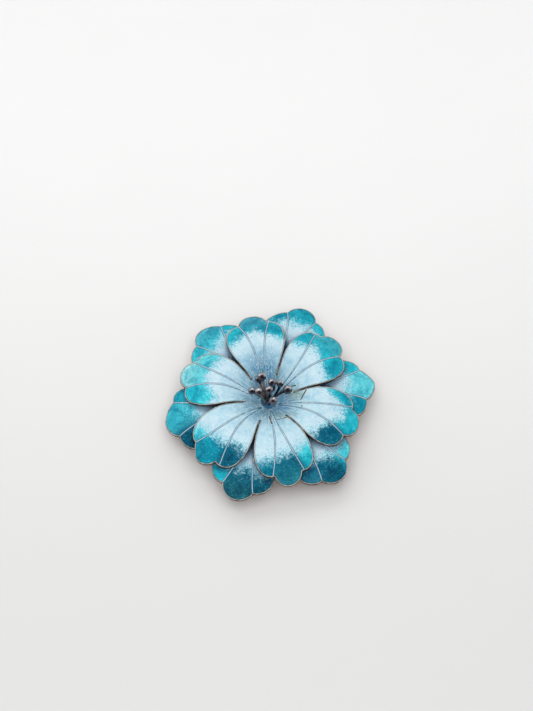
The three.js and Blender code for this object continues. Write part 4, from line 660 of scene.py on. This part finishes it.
def tube(path, radii, n=20):
    """closed skin round a 3-D path with a radius at each point; frames are carried along without twist"""
    path = np.asarray(path, float); m = len(path); T = np.gradient(path, axis=0); T /= np.linalg.norm(T, axis=1)[:, None]
    u = np.cross(T[0], [0.3, 1, 0.2]); u /= np.linalg.norm(u); V = []; g = np.linspace(0, 2 * math.pi, n, endpoint=False)
    for i in range(m):
        u = u - T[i] * (u @ T[i]); u /= np.linalg.norm(u); w = np.cross(T[i], u)
        V.append(path[i] + radii[i] * (np.cos(g)[:, None] * u + np.sin(g)[:, None] * w))
    V = np.vstack(V + [path[:1], path[-1:]]); F = []
    for i in range(m - 1):
        for j in range(n):
            q = (j + 1) % n; F.append([i * n + j, i * n + q, (i + 1) * n + q, (i + 1) * n + j])
    a, z = m * n, m * n + 1
    for j in range(n):
        q = (j + 1) % n; F.append([a, q, j]); F.append([z, (m - 1) * n + j, (m - 1) * n + q])
    return V, F

for i, bead in enumerate(BEADS):
    BEAD_R = BEAD_RADII[i]
    head = np.array(bead, float); deg = WIRE_ANGLE[i]; ring = 0 if deg is None else WIRE_RING; deg = deg or 0.0
    a0, a1 = math.radians(deg - WIRE_TWIST), math.radians(deg)
    base = np.array([WIRE_X + ring * math.cos(a0), ring * math.sin(a0), HEAD_TOP + 0.0])
    m1 = np.array([WIRE_X + ring * math.cos(a1), ring * math.sin(a1), base[2] + 2.26]); m2 = None
    if i in WIRE_BEND: m1, m2 = (np.array(q, float) for q in WIRE_BEND[i])
    d = head - (m2 if m2 is not None else m1); d /= np.linalg.norm(d); end = head - d * BEAD_R * 0.4
    if m2 is None: m2 = m1 * 0.55 + end * 0.45 + np.array([0, 0, 0.35])
    C = catmull([base, m1, m2, end], 90)
    # stop the wire where it reaches the ball, then go straight through the ball's middle
    keep = np.linalg.norm(C - head, axis=1) > BEAD_R * 1.02; C = C[:np.argmin(keep) if not keep.all() else len(C)]
    d = head - C[-1]; dist = np.linalg.norm(d); d /= dist
    th = np.linspace(math.asin(min(0.99, WIRE_R * 1.0 / BEAD_R)), math.pi, 30)[1:-1]
    ball = head - d * (np.cos(th) * BEAD_R)[:, None]
    path = np.vstack([C, ball, head + d * BEAD_R * 0.999]); lump = 1 + 0.012 * np.sin(3 * th + i)
    rad = np.r_[WIRE_R * (1 + 0.03 * np.sin(np.arange(len(C)) * 0.45 + i)), np.maximum(BEAD_R * np.sin(th) * lump, 0.01), 0.03]
    nC = len(C); f = np.clip((np.arange(nC) - (nC - 7)) / 6.0, 0, 1); rad[:nC] *= 1 + 0.20 * f ** 2   # small fillet at the neck
    V, F = tube(path, rad, 28)
    wire = np.r_[np.ones(nC), np.zeros(len(path) - nC)]; wire[nC - 4:nC] = (0.75, 0.5, 0.3, 0.15)
    tone = wire[:, None] * lin(TONE_WIRE[i]) + (1 - wire)[:, None] * lin(TONE_BALL[i])
    if i == 5:  # a little bare gold-coloured metal low on this wire
        g = np.exp(-((path[:, 2] - 3.4) / 0.7) ** 2) * wire; tone = tone * (1 - g[:, None]) + g[:, None] * lin((226, 178, 96))
    pv = lambda a: np.concatenate([np.repeat(a, 28, axis=0), a[:1], a[-1:]])
    tn = pv(tone); wv = pv(wire); nrm = (V - head) / BEAD_R; nrm /= np.maximum(np.linalg.norm(nrm, axis=1), 1e-6)[:, None]; isb = (1 - wv)[:, None]
    low = (1 - smooth(-0.30, 0.55, nrm @ np.array([-0.10, 0.42, 0.90])))[:, None]
    tn = tn * (1 - isb * 0.85 * low) + isb * 0.85 * low * lin((20, 20, 26))                                   # painted shade, balls darker underneath
    u, v, w = nrm @ np.array([1.0, 0, 0]), nrm @ np.array([0, 0.92, 0.39]), nrm @ np.array([0, -0.39, 0.92]); q = np.hypot(u, v); an = np.arctan2(v, u)
    paint = lambda m, k, c: tn * (1 - isb * m[:, None] * k) + isb * m[:, None] * k * lin(c)
    # painted reflection: a lighter band low on each ball's camera-facing side
    tn = paint(smooth(0.55, 0.80, q) * (1 - smooth(0.90, 1.0, q)) * smooth(0.1, 0.6, -v) * (w > 0), 0.40, (146, 144, 154))
    # painted reflection: a dark patch in the middle of each ball's camera-facing side
    tn = paint((1 - smooth(0.26, 0.56 + 0.08 * math.sin(i * 2.3), np.hypot(u - 0.04 - 0.14 * math.cos(i * 2.1), (v + 0.16 - 0.08 * math.sin(i * 1.7)) * 1.25))) * (w > 0), 0.88, (16, 18, 26))
    painted_crescent_highlight = smooth(0.34, 0.54, q) * (1 - smooth(0.80, 0.95, q)) * smooth(-0.20, 0.35, v / np.maximum(q, 0.05)) * (w > 0)
    tn = paint(painted_crescent_highlight * (0.74 + 0.26 * np.cos(2 * an - 1.1 * i)), 0.94, (238, 234, 236))                         # painted highlight crescent high on each ball
    ob = make_mesh(f"beaded_stamen_{i+1}", to_m(V), F, True, [MAT_STAMEN], {"tone": ("FLOAT_COLOR", tn), "wire": ("FLOAT", wv)})
    fix_normals(ob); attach(ob, "flower"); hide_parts(f"stamen_{i+1}")

# ------------------------------------------------------------------ turned and bent fittings (frame metres from the CAD boxes)
def lathe(profile, n, origin, axis):
    """profile of (radius, along) points from axis to axis, or a closed ring of points; turned round x, y or z"""
    closed = profile[0][0] > 1e-9; V = []; m = len(profile)
    for r, h in profile:
        for j in range(n):
            g = 2 * math.pi * j / n; p = (r * math.cos(g), r * math.sin(g), h)
            V.append({"z": p, "x": (p[2], p[0], p[1]), "y": (p[1], p[2], p[0])}[axis])
    F = []
    for i in range(m if closed else m - 1):
        for j in range(n):
            a, b2 = i * n + j, i * n + (j + 1) % n; c2, d2 = ((i + 1) % m) * n + (j + 1) % n, ((i + 1) % m) * n + j; F.append([a, b2, c2, d2])
    return np.array(V) + np.array(origin), F

def rounded(profile, r=0.1, n=4):
    """rounds the corners of an open or closed profile, leaving points on the axis"""
    P = [np.array(q, float) for q in profile]; out = []; closed = P[0][0] > 1e-9
    for i, p in enumerate(P):
        if not closed and (i == 0 or i == len(P) - 1): out.append(tuple(p)); continue
        a, c2 = P[i - 1], P[(i + 1) % len(P)]; la, lc = np.linalg.norm(a - p), np.linalg.norm(c2 - p); q = min(r, la * 0.45, lc * 0.45)
        A, B = p + (a - p) / la * q, p + (c2 - p) / lc * q
        for t in np.linspace(0, 1, n): out.append(tuple((1 - t) ** 2 * A + 2 * t * (1 - t) * p + t * t * B))
    return out

def weld_mesh(name, V, F, mats):
    import bmesh
    ob = make_mesh(name, np.asarray(V) * MM, F, True, mats); bm = bmesh.new(); bm.from_mesh(ob.data)
    bmesh.ops.remove_doubles(bm, verts=bm.verts, dist=1e-7); bmesh.ops.dissolve_degenerate(bm, dist=1e-8, edges=bm.edges); bmesh.ops.recalc_face_normals(bm, faces=bm.faces)
    bm.to_mesh(ob.data); bm.free(); ob.data.update(); return ob

def prism(name, outline, lo, hi, axis, bevel, mats):
    """convex outline extruded along an axis with rounded edges; outline in the other two axes (mm)"""
    O = np.asarray(outline, float); n = len(O); c = O.mean(0); rings = []
    e = np.roll(O, -1, 0) - O; e /= np.maximum(np.hypot(*e.T), 1e-9)[:, None]; nr = np.stack([e[:, 1], -e[:, 0]], -1); N = nr + np.roll(nr, 1, 0); N /= np.hypot(*N.T)[:, None]
    if ((O - c) * N).sum() < 0: N = -N
    cc = np.maximum(np.abs((N * nr).sum(1)), 0.5)
    for q in np.linspace(0, math.pi / 2, 4): rings.append((O - N * (bevel * (1 - math.sin(q)) / cc)[:, None], lo + bevel * (1 - math.cos(q))))
    for q in np.linspace(math.pi / 2, 0, 4): rings.append((O - N * (bevel * (1 - math.sin(q)) / cc)[:, None], hi - bevel * (1 - math.cos(q))))
    V = []
    for R, h in rings:
        for p in R: V.append({"z": (p[0], p[1], h), "y": (p[0], h, p[1]), "x": (h, p[0], p[1])}[axis])
    F = [[i * n + j, i * n + (j + 1) % n, (i + 1) * n + (j + 1) % n, (i + 1) * n + j] for i in range(len(rings) - 1) for j in range(n)]
    F.append(list(range(n))[::-1]); F.append([(len(rings) - 1) * n + j for j in range(n)])
    return weld_mesh(name, V, F, mats)

def round_box(name, x0, x1, y0, y1, z0, z1, bevel, mats, corner=0.3):
    q = []
    for cx, cy, a in ((x1 - corner, y1 - corner, 0), (x0 + corner, y1 - corner, 90), (x0 + corner, y0 + corner, 180), (x1 - corner, y0 + corner, 270)):
        for t in np.linspace(0, 90, 6): g = math.radians(a + t); q.append((cx + corner * math.cos(g), cy + corner * math.sin(g)))
    return prism(name, q, z0, z1, "z", bevel, mats)

def combine(ob, others, op):
    """union or difference of closed meshes, the result kept on the first"""
    for o in others:
        m = ob.modifiers.new("b", "BOOLEAN"); m.operation = op; m.solver = "EXACT"; m.object = o
        dg = bpy.context.evaluated_depsgraph_get(); dg.update(); me = bpy.data.meshes.new_from_object(ob.evaluated_get(dg)); ob.modifiers.clear()
        old = ob.data; ob.data = me; bpy.data.meshes.remove(old); bpy.data.objects.remove(o, do_unlink=True)
    return ob

def soften(ob, angle=32):
    ob.data.shade_smooth()
    try: ob.data.set_sharp_from_angle(angle=math.radians(angle))
    except AttributeError: pass
    return ob

def finish_piece(ob, body, node):
    soften(ob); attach(ob, body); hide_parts(node); return ob

def mm_box(n):
    lo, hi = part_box(n); return np.array(lo) / MM, np.array(hi) / MM

# centre rivet: shank and a low domed head
lo, hi = mm_box("centre_rivet"); zt = hi[2]; zs = zt - 0.08 + 0.05 - 0.44 + 0.06
V, F = lathe(rounded([(0, lo[2]), (1.38, lo[2]), (1.38, zs), (1.86, zs), (1.86, zt - 0.14), (1.5, zt - 0.02), (0, zt)], 0.08), 64, (CUP_X, CUP_Y, 0), "z")
ob = weld_mesh("rivet_with_low_head", V, F, [MAT_HEAD]); finish_piece(ob, "flower", "centre_rivet")
lo, hi = mm_box("spacer_collar")
V, F = lathe(rounded([(1.6, lo[2]), (2.5, lo[2]), (2.5, hi[2]), (1.6, hi[2])], 0.12), 64, (CUP_X, CUP_Y, 0), "z")
ob = weld_mesh("turned_spacer_collar", V, F, [MAT_COPPER]); finish_piece(ob, "flower", "spacer_collar")

# bar with rounded ends
lo, hi = mm_box("back_bar"); h = (hi[1] - lo[1]) / 2; yc = (hi[1] + lo[1]) / 2; q = []
for cx, a in ((hi[0] - h, -90), (lo[0] + h, 90)):
    for t in np.linspace(0, 180, 25): g = math.radians(a + t); q.append((cx + h * math.cos(g), yc + h * math.sin(g)))
ob = prism("rounded_back_bar", q, lo[2], hi[2], "z", 0.16, [MAT_FIND]); finish_piece(ob, "flower", "back_bar")

# hinge: bracket, rivet, stem
lo, hi = mm_box("hinge_bracket"); hx = CUP_X - 13.0; az = 2.1; yc = CUP_Y
base = round_box("bent_hinge_bracket", lo[0], hi[0], lo[1], hi[1], hi[2] - 0.5, hi[2], 0.10, [MAT_FIND])
for y0, y1 in ((-1.75, -1.05), (1.05, 1.75)):
    out = []
    pts = [(hx - 2.0, hi[2] - 0.2), (hx - 2.0, az - 0.9), (hx - 1.2, 0.0), (hx + 0.8, 0.0), (hx + 1.6, az - 0.9), (hx + 1.6, hi[2] - 0.2)]
    P = [np.array(v) for v in pts]
    for i, p in enumerate(P):
        a, c2 = P[i - 1], P[(i + 1) % len(P)]; r = 0.5 if 0 < i < 5 else 0.02
        A, B = p + (a - p) / np.linalg.norm(a - p) * r, p + (c2 - p) / np.linalg.norm(c2 - p) * r
        for t in np.linspace(0, 1, 6): out.append((1 - t) ** 2 * A + 2 * t * (1 - t) * p + t * t * B)
    lug = prism("lug", out, yc + y0, yc + y1, "y", 0.10, [MAT_FIND]); base = combine(base, [lug], "UNION")
V, F = lathe([(0, -3), (0.62, -3), (0.62, 3), (0, 3)], 48, (hx, yc, az), "y"); base = combine(base, [weld_mesh("bore", V, F, [MAT_FIND])], "DIFFERENCE")
finish_piece(base, "flower", "hinge_bracket")
V, F = lathe(rounded([(0, -2.2), (0.62, -2.17), (0.85, -2.02), (0.85, -1.87), (0.5, -1.87), (0.5, 1.87), (0.85, 1.87), (0.85, 2.02), (0.62, 2.17), (0, 2.2)], 0.07), 48, (hx, yc, az), "y")
finish_piece(weld_mesh("domed_hinge_rivet", V, F, [MAT_STEEL]), "flower", "hinge_rivet")
lo, hi = mm_box("pin_stem"); tip = hi[0]
V, F = lathe(rounded([(0, -0.8), (1.3, -0.8), (1.3, 0.8), (0, 0.8)], 0.18), 64, (hx, yc, az), "y"); eye = weld_mesh("pointed_pin_stem", V, F, [MAT_STEEL])
L0 = hx + 0.9; prof = [(0, L0), (0.45, L0), (0.45, tip - 5.0)]
for t in np.linspace(0, 1, 14)[1:]: prof.append((0.45 * (1 - t ** 1.7 * 0.96), tip - 5.0 + t * 4.97))
prof.append((0, tip)); V, F = lathe(prof, 40, (0, yc, az), "x"); eye = combine(eye, [weld_mesh("rod", V, F, [MAT_STEEL])], "UNION")
V, F = lathe([(0, -2), (0.62, -2), (0.62, 2), (0, 2)], 48, (hx, yc, az), "y"); eye = combine(eye, [weld_mesh("bore", V, F, [MAT_STEEL])], "DIFFERENCE")
finish_piece(eye, "stem", "pin_stem")

# catch: slotted ring on a foot, and the roll-over sleeve in it
def slotted(name, ro, ri, slot, x0, x1, mats, bevel=0.10):
    a = math.asin((slot / 2) / ((ro + ri) / 2)); ang = np.linspace(-math.pi / 2 + a, 1.5 * math.pi - a, 97); rm, ht, hw = (ro + ri) / 2, (ro - ri) / 2, (x1 - x0) / 2
    sec = []
    for cx, cy, g0 in ((hw - bevel, ht - bevel, 0), (-hw + bevel, ht - bevel, 90), (-hw + bevel, -ht + bevel, 180), (hw - bevel, -ht + bevel, 270)):
        for t in np.linspace(0, 90, 4): g = math.radians(g0 + t); sec.append((cx + bevel * math.cos(g), cy + bevel * math.sin(g)))
    V = []
    for g in ang:
        for sx, sr in sec: V.append(((x0 + x1) / 2 + sx, yc + (rm + sr) * math.cos(g), az + (rm + sr) * math.sin(g)))
    n = len(sec); F = [[i * n + j, i * n + (j + 1) % n, (i + 1) * n + (j + 1) % n, (i + 1) * n + j] for i in range(len(ang) - 1) for j in range(n)]
    F.append(list(range(n))[::-1]); F.append([(len(ang) - 1) * n + j for j in range(n)]); return weld_mesh(name, V, F, mats)
lo, hi = mm_box("catch_housing"); cxx = CUP_X + 13.0; x0, x1 = cxx - 1.5, cxx + 1.5
ring = slotted("catch_ring_on_foot", 2.1, 1.62, 1.7, x0, x1, [MAT_FIND]); ztop = hi[2]
foot = round_box("foot", x0, x1, yc - 1.1, yc + 1.1, az + 1.78, ztop - 0.1, 0.06, [MAT_FIND], 0.15); plate = round_box("plate", x0 - 0.8, x1 + 0.2, yc - 2.0, yc + 2.0, ztop - 0.35, ztop, 0.10, [MAT_FIND], 0.4)
ring = combine(ring, [foot, plate], "UNION"); finish_piece(ring, "flower", "catch_housing")
lo, hi = mm_box("catch_roller"); sleeve = slotted("roll_over_sleeve", 1.48, 0.78, 1.5, lo[0], hi[0], [MAT_FIND])
tab = round_box("tab", hi[0] - 1.0, hi[0], yc + 1.15, hi[1], az - 0.35, az + 0.35, 0.12, [MAT_FIND], 0.25)
sleeve = combine(sleeve, [tab], "UNION"); finish_piece(sleeve, "roller", "catch_roller")

# ------------------------------------------------------------------ floor, light, camera
def floor_material():
    M = Mat("floor"); b = M.b
    sx = M.n("ShaderNodeSeparateXYZ"); M.l(M.coord(), sx.inputs[0])
    # painted light falloff: the floor darker towards the front
    g = M.mix(M.step(sx.outputs[1], -0.07, 0.11), tuple(lin((223, 223, 222))), tuple(lin((243, 243, 243))))
    M.l(M.mix(M.math("MULTIPLY", M.noise(30, 3, 0.5), 0.10), g, tuple(lin((210, 210, 209)))), b.inputs["Base Color"])
    b.inputs["Roughness"].default_value = 0.75; b.inputs["Specular IOR Level"].default_value = 0.2; return M.m
me = bpy.data.meshes.new("floor"); s = 1.2
me.from_pydata([(-s, -s, -0.00005), (s, -s, -0.00005), (s, s, -0.00005), (-s, s, -0.00005)], [], [(0, 1, 2, 3)]); me.materials.append(floor_material())
floor = bpy.data.objects.new("floor", me); bpy.context.scene.collection.objects.link(floor); floor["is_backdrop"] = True

def area(name, loc, target, size, power, color=(1, 1, 1), size_y=None):
    d = bpy.data.lights.new(name, "AREA"); d.energy = power; d.color = color; d.shape = "RECTANGLE" if size_y else "SQUARE"; d.size = size
    if size_y: d.size_y = size_y
    o = bpy.data.objects.new(name, d); o.location = loc
    o.rotation_euler = (Vector(target) - Vector(loc)).to_track_quat("-Z", "Y").to_euler(); bpy.context.scene.collection.objects.link(o); return o
area("softbox_back", (-0.12, 0.36, 0.66), (-0.01, 0.04, 0.0), 0.75, 1.3, (1.0, 0.998, 0.995), 0.36)
area("softbox_left", (-0.60, 0.10, 0.50), (0, 0, 0.005), 0.45, 0.35, (1.0, 1.0, 1.0))
fill = area("fill_overhead", (0.0, -0.16, 0.76), (0, 0.02, 0), 0.6, 3.9, (1.0, 1.0, 1.0)); fill.visible_glossy = False
world = bpy.data.worlds.new("world"); bpy.context.scene.world = world; world.use_nodes = True
bg = world.node_tree.nodes.get("Background") or world.node_tree.nodes.new("ShaderNodeBackground")
wt = world.node_tree; tc = wt.nodes.new("ShaderNodeTexCoord"); dt = wt.nodes.new("ShaderNodeVectorMath"); dt.operation = "DOT_PRODUCT"; wt.links.new(tc.outputs["Generated"], dt.inputs[0]); dt.inputs[1].default_value = (0.0, -0.39, 0.92)
mr = wt.nodes.new("ShaderNodeMapRange"); mr.interpolation_type = "SMOOTHSTEP"; wt.links.new(dt.outputs["Value"], mr.inputs[0]); mr.inputs[1].default_value = 0.60; mr.inputs[2].default_value = 0.90; mr.inputs[3].default_value = 0.40; mr.inputs[4].default_value = 0.30
bg.inputs[0].default_value = (1.0, 0.998, 0.995, 1); wt.links.new(mr.outputs[0], bg.inputs[1])
bpy.context.scene.view_settings.view_transform = "Standard"

F_PX, W, H = 3.666 * 450.0, 533, 711
cam = bpy.data.cameras.new("camera"); cam.sensor_fit = "VERTICAL"; cam.sensor_height = 36.0; cam.sensor_width = 36.0 * W / H; cam.lens = F_PX / H * 36.0
cam.clip_start = 0.01; cam.clip_end = 10
co = bpy.data.objects.new("camera", cam); bpy.context.scene.collection.objects.link(co); bpy.context.scene.camera = co
EL = math.radians(67.0); T = Vector(to_m([0, 0, 0])); co.location = T + Vector((0, -math.cos(EL), math.sin(EL))) * 0.450
pitch, yaw = math.atan((401.4 - H / 2) / F_PX), math.atan((268.6 - W / 2) / F_PX)
co.rotation_euler = (Matrix.Rotation(math.pi / 2 - EL, 3, "X") @ Matrix.Rotation(yaw, 3, "Y") @ Matrix.Rotation(pitch, 3, "X")).to_euler()

{"cad_box": [list(map(float, c)) for c in CAD_BOX], "visual_box": [list(map(float, c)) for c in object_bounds()]}
